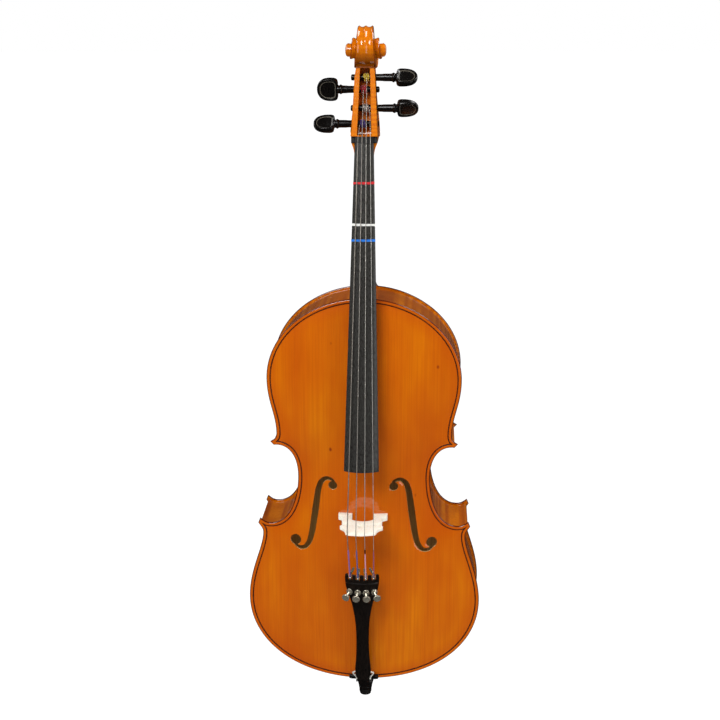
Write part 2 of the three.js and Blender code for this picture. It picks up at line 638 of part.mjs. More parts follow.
// Lever under the tailpiece: from the screw's tip to the fork that holds the string.
function lever(t) {
  const x = tailX(t);
  const y = tailSurface(x, FRET_Z) + 6.7 + 0.05 * Math.abs(x);
  const slope = -0.176;
  const arm = (z) => [x, y + slope * (z - FRET_Z), z];
  const bar = loft([208, 246].map((z) => {
    const [, ay] = arm(z);
    const middle = lerp(t.x, x, clamp((z - 208) / 30, 0, 1));
    return [[-2.6, -0.9], [2.6, -0.9], [2.6, 0.9], [-2.6, 0.9]].map(([dx, dy]) => [middle + dx, ay + dy, z]);
  }));
  const fork = box([x - 3, tailSurface(x, 245) - 2.2, 243.4], [x + 3, arm(245)[1] + 0.8, 246]);
  const half = t.radius + 0.7;
  const slot = box([x - half, tailSurface(x, 245) - 6, 240], [x + half, tailSurface(x, 245) + 3, 250]);
  return bar.add(fork).subtract(slot);
}

// ---------- end pin ----------
const PLUG = [
  [4.3, -53], [12.6, -53], [14.2, -47], [16.4, -36], [17.6, -26], [17.6, -14], [16.6, -6], [15.4, 3],
  [12.2, 3.4],
  [11.2, 38], [4.3, 38],
];
const FOOT = [[0, -FOOT_DROP], [7.4, -FOOT_DROP], [9.8, -65.5], [11.4, -62], [12.2, -53.4], [0, -53.4]];

// ---------- assemble ----------
const pieces = [];
const add = (name, shape, color, roughness = 0.5, metalness = 0) =>
  pieces.push({ name, shape, color, roughness, metalness });

const VARNISH = "#c96f10";
const RIB_COLOR = "#b5610f";
const EBONY = "#17130f";
const MAPLE = "#e9d9b4";
const SPRUCE = "#d9b980";
const NICKEL = "#b8b6ae";

const heelClear = heel(GAP);
const hole = soundHole();
const holes = hole.add(hole.mirror([1, 0, 0]));
const SADDLE = { half: 27, z: 9, top: -6 };
const saddleNotch = box([-SADDLE.half - GAP, -30, -5], [SADDLE.half + GAP, PLATE + 5, SADDLE.z + GAP]);

const belly = plate(0, BELLY_ARCH, -1).subtract(holes).subtract(heelClear).subtract(saddleNotch);
add("top_plate", belly, "#d0780f", 0.25);
const button = disc(0, 752, 18, BODY_DEPTH - PLATE, BODY_DEPTH, 32);
const back = plate(BODY_DEPTH, BACK_ARCH, 1).add(button);
add("back_plate", back, VARNISH, 0.25);

// ribs: a garland cut at its six joints
const INNER = [PLATE + GAP, BODY_DEPTH - PLATE - GAP];
const plugClear = rod(12.2 + GAP, 80, [0, AXIS_Y, -30], [0, 0, 1], 24);
let garland = band(OVERHANG, OVERHANG + RIB, ...INNER);
const slit = (x, z, angle) =>
  box([-30, -1, -GAP / 2], [30, BODY_DEPTH + 1, GAP / 2]).rotate([0, -angle, 0]).translate([x, 0, z]);
const SLITS = [
  [0, 750, 90], [0, 5, 90],
  [155, 486.4, -27], [-155, 486.4, 27], [187, 314, 43], [-187, 314, -43],
];
for (const place of SLITS) garland = garland.subtract(slit(...place));
garland = garland.subtract(heelClear).subtract(plugClear).subtract(saddleNotch);
const ribParts = garland.decompose().filter((m) => m.volume() > 500);
for (const part of ribParts) {
  const b = part.boundingBox();
  const midZ = (b.min[2] + b.max[2]) / 2;
  const side = b.min[0] + b.max[0] < 0 ? "left" : "right";
  const zone = midZ > 560 ? "upper" : midZ > 330 ? "middle" : "lower";
  add(`rib_${zone}_${side}`, part, RIB_COLOR, 0.3);
}

// linings: a strip round the inside of the ribs, against each plate
const LINING_IN = OVERHANG + RIB + GAP;
const cornerPoint = box([189.8, -1, 310], [205, BODY_DEPTH + 1, 330]);
const cornerPoints = cornerPoint.add(cornerPoint.mirror([1, 0, 0]));
const bodyCuts = [heelClear, plugClear, saddleNotch, cornerPoints];
const cutBy = (shape, cuts) => cuts.reduce((left, cut) => left.subtract(cut), shape);
const liningBands = [
  ["top_lining", INNER[0], INNER[0] + LINING_HEIGHT],
  ["back_lining", INNER[1] - LINING_HEIGHT, INNER[1]],
];
let liningSpace = null;
for (const [name, y0, y1] of liningBands) {
  add(name, cutBy(band(LINING_IN, LINING_IN + LINING, y0, y1), bodyCuts), SPRUCE, 0.7);
  const space = band(LINING_IN - 2 * GAP, LINING_IN + LINING + GAP, y0 - GAP, y1 + GAP);
  liningSpace = liningSpace ? liningSpace.add(space) : space;
}

// blocks: solid wood filling the ends and the four corners
const inside = prism(inset(LINING_IN), ...INNER);
const blockAreas = [
  ["top_block", [[-44, 722], [44, 722], [44, 770], [-44, 770]]],
  ["bottom_block", [[-40, -5], [40, -5], [40, 32], [-40, 32]]],
  ["corner_block_upper_right", [[128, 500], [128, 470], [145, 455], [190, 455], [190, 500]]],
  ["corner_block_lower_right", [[150, 345], [150, 308], [215, 300], [215, 345]]],
];
for (const [name, shape] of blockAreas) {
  const sides = name.endsWith("_right") ? [1, -1] : [1];
  for (const s of sides) {
    const area = prism(shape.map(([x, z]) => [x * s, z]), -1, BODY_DEPTH + 1);
    const block = cutBy(inside.intersect(area), [liningSpace, ...bodyCuts]);
    add(s > 0 ? name : name.replace("_right", "_left"), largest(block), SPRUCE, 0.75);
  }
}

// bass bar and sound post
const barX = -23;
const innerY = (z) => PLATE - BELLY_ARCH * archAlong(z) * archProfile(1 - Math.abs(barX) / 170, 0.09);
const bar = loft(range(13).map((i) => {
  const z = lerp(140, 620, i / 12);
  const deep = 3 + 19 * Math.sin((i / 12) * Math.PI) ** 0.8;
  const y = innerY(z) + GAP + 0.6;
  return [[barX - 5, y - 4, z], [barX + 5, y - 4, z], [barX + 4, y + deep, z], [barX - 4, y + deep, z]];
}));
const bellySpace = plate(GAP, BELLY_ARCH, -1).add(box([-100, -90, 100], [60, -BELLY_ARCH, 700]));
add("bass_bar", largest(bar.subtract(bellySpace)), SPRUCE, 0.75);
const postCut = plate(GAP, BELLY_ARCH, -1).add(plate(BODY_DEPTH - GAP, BACK_ARCH, 1));
const post = rod(5.5, 180, [24, -25, BRIDGE_Z - 16], [0, 1, 0], 20).subtract(postCut);
add("sound_post", largest(post), SPRUCE, 0.75);

add("neck", neckPiece(), "#cf7f1c", 0.3);
add("fingerboard", fingerboard(), EBONY, 0.35);

const strings = STRINGS.map(stringPiece);
const clearances = STRINGS.map((s) => stringBar(s, 0.16, 10));

// nut: a full-width block with a string groove for each string
let nut = loft([NUT_Z, NUT_Z + NUT_LENGTH].map((z, k) => {
  const w = 23.2;
  const arc = range(11).map((i) => {
    const x = lerp(-w, w, i / 10);
    const reach = Math.min(Math.abs(x), 17);
    return [x, boardY(NUT_Z) + sag(reach) - NUT_CROWN + k * 4.8 + (Math.abs(x) > 17 ? 2.5 : 0), z];
  });
  return [...arc, [w, underY(z), z], [-w, underY(z), z]];
}));
for (const c of clearances) nut = nut.subtract(c);
add("nut", nut, EBONY, 0.4);

const saddleTop = [[-3.2, -3.5], [SADDLE.z - 3, SADDLE.top], [SADDLE.z, SADDLE.top + 3]];
const saddle = loft(saddleTop.map(([z, y]) => {
  const w = SADDLE.half;
  const top = [[-w, y + 1.5, z], [-w + 4, y, z], [w - 4, y, z], [w, y + 1.5, z]];
  return [...top, [w, PLATE + 4, z], [-w, PLATE + 4, z]];
}));

// tail cord: from the tailpiece over the saddle and round the end-pin plug
const cordPath = (s) => [
  [4 * s, -28.5, 31], [10 * s, -28, 30.2], [16 * s, -26.4, 28], [19.5 * s, -23, 25], [18.5 * s, -18.5, 19.5],
  [14.6 * s, -12.6, 11.5], [13 * s, -8.6, 5.5], [13 * s, -5.6, -2.6], [13.8 * s, 8, -8.2],
  [18.4 * s, 40, -10.5], [19.5 * s, AXIS_Y, -11],
];
const cord = (grow) => {
  const [l, r] = [cordPath(-1), cordPath(1)];
  l[0][0] += grow * 2;
  r[0][0] -= grow * 2;
  const round = range(7).map((i) => {
    const a = Math.PI * (i / 6);
    return [-19.5 * Math.cos(a), AXIS_Y + 19.5 * Math.sin(a), -11];
  });
  return sweep([...l.slice(0, -1), ...round, ...r.slice(0, -1).reverse()], 1.5 + grow, 8);
};
add("saddle", saddle.subtract(cord(GAP)), EBONY, 0.4);
add("tail_cord", cord(0), "#d9d6cc", 0.5);
add("tailpiece", tailpiece([cord(GAP), ...clearances,
  ...STRINGS.map((s) => box([tailX(s) - 3.6, -100, 236], [tailX(s) + 3.6, -20, 262])),
  ...TUNERS.map((t) => rod(2.4 + GAP, 30, along(tunerBase(t), tunerAxis(t), -12), tunerAxis(t), 16)),
]), EBONY, 0.35);

const bridge = bridgePiece([...clearances, plate(-GAP, BELLY_ARCH, -1)]);
add("bridge", largest(bridge), MAPLE, 0.6);

STRINGS.forEach((s, i) => add(`string_${s.name}`, strings[i], s.color, 0.3, 0.8));
for (const s of STRINGS) add(`peg_winding_${s.name}`, winding(s), s.silk, 0.6);
for (const p of PEGS) add(`peg_${p.name}`, pegPiece(p), EBONY, 0.35);

for (const t of TUNERS) {
  add(`tuner_knob_${t.name}`, knob(t), NICKEL, 0.3, 0.9);
  add(`tuner_screw_${t.name}`, screw(t), NICKEL, 0.3, 0.9);
  add(`tuner_collar_${t.name}`, collar(t), NICKEL, 0.35, 0.9);
  add(`tuner_lever_${t.name}`, lever(t), NICKEL, 0.35, 0.9);
}

const plug = turned(PLUG, [0, AXIS_Y, 0], [0, 0, 1], 32);
const thumbAxis = [0, 1, 0];
const thumbAt = [0, AXIS_Y, -40];
const thumbHole = rod(2.5 + GAP, 40, thumbAt, thumbAxis, 16);
add("endpin_plug", plug.subtract(thumbHole).subtract(cord(GAP)), EBONY, 0.4);
add("endpin_rod", rod(4, 500, [0, AXIS_Y, -60], [0, 0, 1], 20), "#8e8e8c", 0.3, 0.9);
const foot = turned(FOOT, [0, AXIS_Y, 0], [0, 0, 1], 32);
add("endpin_foot", foot.subtract(rod(4 + GAP, 20, [0, AXIS_Y, -60 - GAP], [0, 0, 1], 20)), "#1b1b1b", 0.8);
const screwProfile = [[0, 0], [2.5, 0], [2.5, 14], [6.5, 14.4], [7, 15.5], [7, 19], [6.2, 20], [0, 20]];
const screwAt = along(thumbAt, thumbAxis, 4 + GAP);
add("endpin_screw", turned(screwProfile, screwAt, thumbAxis, 20), NICKEL, 0.35, 0.9);

add("tape_red", tape(962, 4.4), "#c8232b", 0.5);
add("tape_white", tape(890, 4.4), "#efefea", 0.5);
add("tape_blue", tape(863, 4.4), "#1f6fd0", 0.5);

// Closes slivers and puts every corner on a fine grid, so faces keep a clean shape.
function cleaned(shape) {
  const mesh = shape.simplify(SLIVER).getMesh();
  const points = [];
  for (let i = 0; i < mesh.vertProperties.length; i += 3) {
    points.push(Array.from(mesh.vertProperties.slice(i, i + 3), (v) => Math.round(v / GRID) * GRID));
  }
  return largest(solid(points, Array.from(mesh.triVerts)).simplify(GRID));
}

const group = new THREE.Group();
group.name = "cello";
for (const { name, shape, color, roughness, metalness } of pieces) {
  const mesh = cleaned(shape).getMesh();
  const geometry = new THREE.BufferGeometry();
  geometry.setAttribute("position", new THREE.BufferAttribute(Float32Array.from(mesh.vertProperties), 3));
  geometry.setIndex(Array.from(mesh.triVerts));
  geometry.translate(0, -AXIS_Y, FOOT_DROP);
  geometry.computeVertexNormals();
  const node = new THREE.Mesh(geometry, new THREE.MeshStandardMaterial({ color, roughness, metalness }));
  node.name = name;
  group.add(node);
}

export default group;
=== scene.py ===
"""The looks of a full-size cello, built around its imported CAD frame.

Shapes are written in body millimetres: x across from the centre line, y back from the plane of
the belly's edge, z up from the lower edge of the body. to_frame() turns them into frame metres.
"""
import math
import bmesh
import bpy
import numpy as np
from mathutils import Matrix, Vector, geometry


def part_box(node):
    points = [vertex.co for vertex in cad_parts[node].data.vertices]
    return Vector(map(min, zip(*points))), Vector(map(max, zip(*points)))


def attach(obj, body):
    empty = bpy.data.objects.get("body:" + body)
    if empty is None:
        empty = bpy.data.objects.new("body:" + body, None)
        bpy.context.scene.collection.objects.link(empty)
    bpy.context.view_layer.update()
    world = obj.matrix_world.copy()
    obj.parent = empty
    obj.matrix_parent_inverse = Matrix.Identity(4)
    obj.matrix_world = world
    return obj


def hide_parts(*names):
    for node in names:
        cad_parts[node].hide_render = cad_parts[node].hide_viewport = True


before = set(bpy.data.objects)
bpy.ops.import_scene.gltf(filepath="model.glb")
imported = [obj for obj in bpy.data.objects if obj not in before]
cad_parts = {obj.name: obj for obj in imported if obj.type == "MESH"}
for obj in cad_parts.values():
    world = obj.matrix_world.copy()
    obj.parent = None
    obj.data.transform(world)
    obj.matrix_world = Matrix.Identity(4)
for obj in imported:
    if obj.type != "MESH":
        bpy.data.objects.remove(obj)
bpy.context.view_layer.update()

# ---------- driving dimensions, body millimetres ----------
BODY_LENGTH = 755
BODY_DEPTH = 125
MID_Y = BODY_DEPTH / 2
PLATE = 4.5
RIB_GAP = 4.8  # from the belly's edge plane to the ribs
BELLY_ARCH = 25
BACK_ARCH = 24
BRIDGE_Z = 347
NECK_RISE = 36
NECK_SLOPE = 0.18
NUT_Z = 1030.6
NUT_LENGTH = 11
BOARD_END_Z = 455
BOARD_RADIUS = 62
BOARD_WIDTHS = (33.5, 63)
BOARD_EDGE = 6
EYE_Y = 72
EYE_Z = 1188
STRINGS = {  # steps from the middle, radius, y at the bridge
    "c": (-1.5, 0.95, -114.5),
    "g": (-0.5, 0.75, -117.6),
    "d": (0.5, 0.62, -117.0),
    "a": (1.5, 0.5, -112.4),
}
BRIDGE_SPACING = 15.7
NUT_SPACING = 7.3
TAIL_SPACING = 14.6
TAIL_Z = 241
FRET_Z = 229
PEGS = {  # height, side of the head, turn in degrees, start of the head
    "c": (1062, -1, 33, 53.5),
    "a": (1089, 1, -39, 56.8),
    "g": (1121, -1, -72, 48),
    "d": (1141.5, 1, 33, 54.5),
}

PEG_DEPTH = 19  # from the front of the pegbox to the pegs' axes
BORE_GAP = 0.35  # between a peg and its bore

MM = 0.001
ORIGIN = np.array([0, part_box("rib_lower_left")[0].y - RIB_GAP * MM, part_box("back_plate")[0].z])


# ---------- numbers and curves ----------
def smooth(rows, v):
    """Reads, at v, a smooth curve through rows of (input, output)."""
    rows = np.asarray(rows, float)
    x, y = rows[:, 0], rows[:, 1]
    slope = np.gradient(y, x)
    v = np.clip(v, x[0], x[-1])
    i = np.clip(np.searchsorted(x, v, side="right") - 1, 0, len(x) - 2)
    h = x[i + 1] - x[i]
    t = (v - x[i]) / h
    start = (1 + 2 * t) * (1 - t) ** 2 * y[i] + t * (1 - t) ** 2 * h * slope[i]
    end = t * t * (3 - 2 * t) * y[i + 1] + t * t * (t - 1) * h * slope[i + 1]
    return start + end


def step(low, high, v):
    """A smooth rise from 0 at low to 1 at high."""
    t = np.clip((v - low) / (high - low), 0, 1)
    return t * t * (3 - 2 * t)


def lengths(path):
    """Distance along a path up to each of its points."""
    return np.concatenate([[0], np.cumsum(np.linalg.norm(np.diff(path, axis=0), axis=1))])


def curve(points, knots, at):
    """Reads, at other places, the smooth curve through points that lie at knots."""
    return np.column_stack([smooth(np.column_stack([knots, column]), at) for column in points.T])


def through(points, count):
    """count points along a smooth curve through the given points, evenly spread."""
    points = np.asarray(points, float)
    knots = lengths(points)
    return curve(points, knots, np.linspace(0, knots[-1], count))


def around(points, count):
    """The same for a closed curve."""
    points = np.asarray(points, float)
    wrapped = np.vstack([points[-2:], points, points[:3]])
    knots = lengths(wrapped)
    at = np.linspace(knots[2], knots[len(points) + 2], count, endpoint=False)
    return curve(wrapped, knots, at)


def evenly(path, count):
    """count points at even spacing along a path."""
    path = np.asarray(path, float)
    at = lengths(path)
    want = np.linspace(0, at[-1], count)
    return np.column_stack([np.interp(want, at, path[:, k]) for k in range(path.shape[1])])


# ---------- meshes ----------
def to_frame(points):
    """Body millimetres to frame metres."""
    return np.asarray(points, float) * MM + ORIGIN


def at_height(ring, z):
    """A ring of (x, y) carried to height z."""
    return np.column_stack([ring, np.full(len(ring), z)])


def placed(name, data):
    """A new object, linked into the scene."""
    obj = bpy.data.objects.new(name, data)
    bpy.context.scene.collection.objects.link(obj)
    return obj


def mesh_object(name, points, faces, paint=None):
    """A mesh in frame metres from body millimetres, with its doubled points merged."""
    mesh = bpy.data.meshes.new(name)
    bm = bmesh.new()
    made = [bm.verts.new(p) for p in to_frame(points)]
    for k, face in enumerate(faces):
        corners = [made[i] for i in dict.fromkeys(face)]
        if len(corners) > 2 and bm.faces.get(corners) is None:
            bm.faces.new(corners).material_index = paint[k] if paint else 0
    bmesh.ops.remove_doubles(bm, verts=bm.verts, dist=2e-6)
    bmesh.ops.recalc_face_normals(bm, faces=bm.faces)
    bm.to_mesh(mesh)
    bm.free()
    return placed(name, mesh)


def dressed(name, parts):
    """One object from several (shape, material) pairs, a shape being its (points, faces)."""
    looks = list(dict.fromkeys(look for _, look in parts))
    points, faces, paint, base = [], [], [], 0
    for (p, f), look in parts:
        points.append(np.asarray(p, float))
        faces += [tuple(i + base for i in face) for face in f]
        paint += [looks.index(look)] * len(f)
        base += len(p)
    obj = mesh_object(name, np.vstack(points), faces, paint)
    for look in looks:
        obj.data.materials.append(look)
    return obj


def baked(obj):
    """The object with its modifiers applied."""
    graph = bpy.context.evaluated_depsgraph_get()
    mesh = bpy.data.meshes.new_from_object(obj.evaluated_get(graph))
    obj.modifiers.clear()
    obj.data = mesh
    return obj


def combine(base, tool, operation):
    """Adds or cuts one solid by another, which is used up."""
    carve = base.modifiers.new("carve", "BOOLEAN")
    carve.operation = operation
    carve.solver = "MANIFOLD"
    carve.object = tool
    baked(base)
    bpy.data.objects.remove(tool)
    return base


def solids(name, parts, cuts=(), looks=()):
    """Closed shapes joined into one solid, less the cuts; a shape's paint counts through the looks."""
    def made(label, part):
        obj = mesh_object(label, *part)
        for look in looks:
            obj.data.materials.append(look)
        return obj

    base = made(name, parts[0])
    for part in parts[1:]:
        combine(base, made("tool", part), "UNION")
    for cut in cuts:
        combine(base, made("tool", cut), "DIFFERENCE")
    if not looks:
        base.data.materials.clear()
    return base


def finish_piece(obj, material, body="cello_body", nodes=(), crease=32):
    """Smooths a piece up to its creases and hands it to the body that it rides on."""
    mesh = obj.data
    if not mesh.materials:
        mesh.materials.append(material)
    mesh.shade_smooth()
    mesh.set_sharp_from_angle(angle=math.radians(crease))
    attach(obj, body)
    if nodes:
        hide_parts(*nodes)
    return obj


def loft(rings, closed=False):
    """A skin through rings of equal point counts, capped unless the rings close on themselves."""
    rings = [np.asarray(r, float) for r in rings]
    n, count = len(rings[0]), len(rings)
    faces = []
    for r in range(count if closed else count - 1):
        a, b = r * n, (r + 1) % count * n
        faces += [(a + i, a + (i + 1) % n, b + (i + 1) % n, b + i) for i in range(n)]
    if not closed:
        faces += [tuple(range(n))[::-1], tuple(range((count - 1) * n, count * n))]
    return np.vstack(rings), faces


def frame_for(direction):
    """Two unit vectors square to a direction and to each other, then the direction at unit length."""
    d = np.asarray(direction, float)
    d = d / np.linalg.norm(d)
    u = np.cross([0.13, 0.21, 0.97] if abs(d[2]) < 0.9 else [1.0, 0, 0], d)
    u /= np.linalg.norm(u)
    return u, np.cross(d, u), d


def lathe(profile, origin, direction, segments, wobble=None):
    """A turned piece: profile rows are (radius, height) along direction from origin."""
    u, v, d = frame_for(direction)
    angle = np.arange(segments) / segments * 2 * math.pi
    rings = []
    for k, (r, h) in enumerate(profile):
        radius = np.full(segments, max(r, 1e-4))
        if wobble:
            radius = radius + wobble(k, angle)
        rings.append(np.asarray(origin) + np.outer(radius * np.cos(angle), u)
                     + np.outer(radius * np.sin(angle), v) + d * h)
    return loft(rings)


def sleeve(profile, origin, direction, segments):
    """A turned piece with a hole along its axis, round which the profile closes on itself."""
    points, faces = lathe(profile, origin, direction, segments)
    last = (len(profile) - 1) * segments
    after = [(i + 1) % segments for i in range(segments)]
    return points, faces[:-2] + [(i, i + last, j + last, j) for i, j in enumerate(after)]


def knurl(depth, teeth, first, last):
    """Teeth round a turned piece, on the profile's rows from first to last."""
    return lambda k, angle: depth * np.cos(angle * teeth) * (first <= k <= last)


def tube(path, radius, sides):
    """A round bar along a path of points; radius may differ from point to point."""
    path = np.asarray(path, float)
    radius = np.broadcast_to(radius, len(path))
    direction = np.gradient(path, axis=0)
    direction /= np.linalg.norm(direction, axis=1)[:, None]
    side = np.cross(direction[0], [0.31, 0.9, 0.12])
    angle = np.arange(sides) / sides * 2 * math.pi
    rings = []
    for p, d, r in zip(path, direction, radius):
        side = side - d * (side @ d)
        side /= np.linalg.norm(side)
        up = np.cross(d, side)
        rings.append(p + r * (np.outer(np.cos(angle), side) + np.outer(np.sin(angle), up)))
    return loft(rings)


def block(low, high):
    """A box between two corners."""
    (x0, y0, z0), (x1, y1, z1) = low, high
    ring = [[x0, y0], [x1, y0], [x1, y1], [x0, y1]]
    return loft([[[x, y, z] for x, y in ring] for z in (z0, z1)])


# ---------- node materials ----------
class Look:
    """A material and short calls to build its nodes."""

    def __init__(self, name, **sockets):
        self.material = bpy.data.materials.new(name)
        self.material.use_nodes = True
        self.tree = self.material.node_tree
        self.shader = self.tree.nodes["Principled BSDF"]
        for key, value in sockets.items():
            self.shader.inputs[key.replace("_", " ")].default_value = value
        self.place = self.node("ShaderNodeTexCoord").outputs["Object"]

    def node(self, kind, inputs=None, **props):
        made = self.tree.nodes.new(kind)
        for key, value in props.items():
            setattr(made, key, value)
        for key, value in (inputs or {}).items():
            self.feed(made.inputs[key], value)
        return made

    def feed(self, socket, value):
        if isinstance(value, bpy.types.NodeSocket):
            self.tree.links.new(value, socket)
        else:
            socket.default_value = value

    def stretched(self, scale):
        """Object coordinates scaled by (x, y, z), so that noise stretches into grain."""
        return self.node("ShaderNodeMapping", {"Vector": self.place, "Scale": scale}).outputs["Vector"]

    def noise(self, scale, detail, roughness=0.55):
        inputs = {"Vector": self.stretched(scale), "Scale": 1.0, "Detail": detail,
                  "Roughness": roughness, "Distortion": 0.0}
        return self.node("ShaderNodeTexNoise", inputs).outputs["Fac"]

    def waves(self, scale, distortion, detail, direction):
        inputs = {"Vector": self.stretched(scale), "Scale": 1.0, "Distortion": distortion,
                  "Detail": detail, "Detail Scale": 1.5}
        return self.node("ShaderNodeTexWave", inputs, bands_direction=direction).outputs["Fac"]

    def ramp(self, fac, *stops):
        """Colour stops are (position, colour)."""
        made = self.node("ShaderNodeValToRGB", {"Fac": fac})
        elements = made.color_ramp.elements
        for _ in range(len(stops) - 2):
            elements.new(0.5)
        for element, (position, colour) in zip(elements, stops):
            element.position = position
            element.color = rgb(colour)
        return made.outputs["Color"]

    def ease(self, value, low, high, out_low=0.0, out_high=1.0):
        inputs = {"Value": value, "From Min": low, "From Max": high, "To Min": out_low, "To Max": out_high}
        return self.node("ShaderNodeMapRange", inputs).outputs["Result"]

    def math(self, operation, a, b):
        return self.node("ShaderNodeMath", {0: a, 1: b}, operation=operation).outputs[0]

    def mix(self, fac, a, b):
        made = self.node("ShaderNodeMix", data_type="RGBA", blend_type="MIX")
        for socket, value in ((made.inputs[0], fac), (made.inputs[6], a), (made.inputs[7], b)):
            self.feed(socket, rgb(value) if isinstance(value, (str, tuple)) else value)
        return made.outputs[2]

    def attribute(self, name):
        return self.node("ShaderNodeAttribute", attribute_name=name).outputs["Fac"]

    def bump(self, height, strength, distance):
        inputs = {"Height": height, "Strength": strength, "Distance": distance}
        return self.node("ShaderNodeBump", inputs).outputs["Normal"]

    def finish(self, colour=None, roughness=None, normal=None, coat_normal=None):
        for key, value in (("Base Color", colour), ("Roughness", roughness),
                           ("Normal", normal), ("Coat Normal", coat_normal)):
            if value is not None:
                self.tree.links.new(value, self.shader.inputs[key])
        return self.material


def rgb(colour):
    """A linear colour with alpha from '#rrggbb'."""
    if not isinstance(colour, str):
        return colour
    channels = [int(colour[i:i + 2], 16) / 255 for i in (1, 3, 5)]
    return tuple(c / 12.92 if c <= 0.04045 else ((c + 0.055) / 1.055) ** 2.4 for c in channels) + (1.0,)


def spruce_varnish():
    """Amber varnish over straight-grained spruce, darker in the channel and along the rim."""
    look = Look("spruce_varnish", Coat_Weight=1.0, Coat_Roughness=0.035, Coat_IOR=1.6,
                Specular_IOR_Level=0.05)
    fine = look.noise((900, 60, 5), 2)
    streak = look.noise((140, 12, 1.6), 4)
    patch = look.noise((9, 9, 3.2), 3, 0.6)
    base = look.ramp(patch, (0.3, "#be5200"), (0.5, "#cd6500"), (0.72, "#dc7b00"))
    base = look.mix(look.ease(streak, 0.42, 0.72, 0.0, 0.5), base, "#c25400")
    base = look.mix(look.ease(fine, 0.44, 0.66, 0.0, 0.28), base, "#a84400")
    edge = look.attribute("edge_mm")
    base = look.mix(look.ease(edge, 30, 8, 0.0, 0.55), base, "#c05000")
    base = look.mix(look.ease(edge, 2.1, 1.1, 0.0, 0.95), base, "#4a1000")
    spots = look.node("ShaderNodeTexVoronoi", {"Vector": look.stretched((13, 13, 9)),
                                               "Scale": 1.0}).outputs["Distance"]
    base = look.mix(look.ease(spots, 0.045, 0.02, 0.0, 0.8), base, "#7a1c04")
    bump = look.bump(fine, 0.12, 0.0003)
    coat = look.bump(look.noise((260, 260, 160), 2), 0.05, 0.0004)
    return look.finish(base, look.ease(streak, 0.2, 0.8, 0.3, 0.42), bump, coat)


def maple_varnish(name, stripes, light="#dc8000", dark="#a85000", deep="#c46800", figure=0.7, throat=0.0):
    """Amber varnish over flamed maple; stripes scales the flame's waves along x, y and z.

    throat is the strength of a painted shade on the front of the scroll's throat, at heights in frame metres.
    """
    look = Look(name, Coat_Weight=1.0, Coat_Roughness=0.07, Coat_IOR=1.6, Specular_IOR_Level=0.05)
    flame = look.waves(stripes, 7.0, 3.0, "Z")
    grain = look.noise((300, 300, 22), 3)
    patch = look.noise((8, 8, 5), 2)
    strength = look.ease(look.noise((22, 22, 22), 2), 0.35, 0.65, 0.15 * figure, figure)
    base = look.mix(strength, deep, look.ramp(flame, (0.1, dark), (0.5, deep), (0.9, light)))
    base = look.mix(look.ease(patch, 0.35, 0.7, 0.0, 0.45), base, deep)
    base = look.mix(look.ease(grain, 0.5, 0.75, 0.0, 0.35), base, "#8a3c00")
    edge = look.attribute("edge_mm")
    rim = look.math("MULTIPLY", look.ease(edge, 2.1, 1.1), look.ease(edge, 0.0, 0.02))
    base = look.mix(rim, base, "#4a1000")
    axes = look.node("ShaderNodeSeparateXYZ", {0: look.place}).outputs
    # Painted shade: darker varnish on the front of the scroll's throat, between two heights, on its front
    # side only.
    painted_throat_shade = look.math("MULTIPLY", look.ease(axes["Z"], 1.262, 1.232), look.ease(axes["Z"], 1.2235, 1.2265))
    painted_throat_shade = look.math("MULTIPLY", painted_throat_shade, look.ease(axes["Y"], 0.004, -0.006, 0.0, throat))
    base = look.mix(painted_throat_shade, base, "#4a1a00")
    bump = look.bump(grain, 0.12, 0.0003)
    coat = look.bump(look.noise((220, 220, 160), 2), 0.05, 0.0004)
    return look.finish(base, look.ease(grain, 0.2, 0.8, 0.28, 0.42), bump, coat)


def ebony(name="ebony", light="#15100d", dark="#040303", rough=(0.3, 0.48)):
    """Near-black wood with fine open grain along z."""
    look = Look(name, Specular_IOR_Level=0.4)
    grain = look.noise((700, 700, 24), 4, 0.65)
    pores = look.noise((1500, 1500, 90), 2)
    base = look.ramp(grain, (0.35, dark), (0.62, light), (0.8, "#241812"))
    bump = look.bump(look.ease(pores, 0.55, 0.75), 0.35, 0.0002)
    return look.finish(base, look.ease(grain, 0.3, 0.7, *rough), bump)


def bare_wood(name, light, dark, fleck, grain_scale):
    """Unvarnished wood with grain and short darker flecks."""
    look = Look(name, Specular_IOR_Level=0.3)
    grain = look.noise(grain_scale, 3)
    flecks = look.noise(tuple(s * 1.9 for s in grain_scale), 2)
    base = look.ramp(grain, (0.3, dark), (0.6, light))
    base = look.mix(look.ease(flecks, 0.6, 0.72, 0.0, 0.6), base, fleck)
    return look.finish(base, look.ease(grain, 0.3, 0.7, 0.55, 0.75), look.bump(grain, 0.25, 0.0003))


def metal(name, colour, rough=(0.16, 0.34), worn="#7d7a72"):
    """Plated metal with faint tarnish and scratches."""
    look = Look(name, Metallic=0.75)
    cloud = look.noise((90, 90, 90), 4)
    scratch = look.noise((900, 300, 2600), 2)
    base = look.mix(look.ease(cloud, 0.5, 0.8, 0.0, 0.55), colour, worn)
    return look.finish(base, look.ease(cloud, 0.3, 0.75, *rough), look.bump(scratch, 0.12, 0.0001))


def wound_wire(name, colour, dark):
    """Flat metal ribbon wound round a string, in fine turns along z."""
    look = Look(name, Metallic=0.5)
    turns = look.waves((0, 0, 900), 0.0, 0.0, "Z")
    cloud = look.noise((60, 60, 14), 3)
    base = look.mix(look.ease(turns, 0.0, 0.35, 0.65, 0.0), colour, dark)
    return look.finish(base, look.ease(cloud, 0.3, 0.7, 0.2, 0.36), look.bump(turns, 0.5, 0.00012))


def thread(name, colour, second):
    """Twisted silk thread."""
    look = Look(name, Roughness=0.6, Sheen_Weight=0.4, Sheen_Roughness=0.4)
    twist = look.waves((600, 500, 700), 0.6, 1.0, "DIAGONAL")
    fuzz = look.noise((2500, 2500, 2500), 2)
    base = look.mix(look.ease(twist, 0.35, 0.75), colour, second)
    return look.finish(base, look.ease(fuzz, 0.3, 0.7, 0.5, 0.75), look.bump(twist, 0.6, 0.0002))


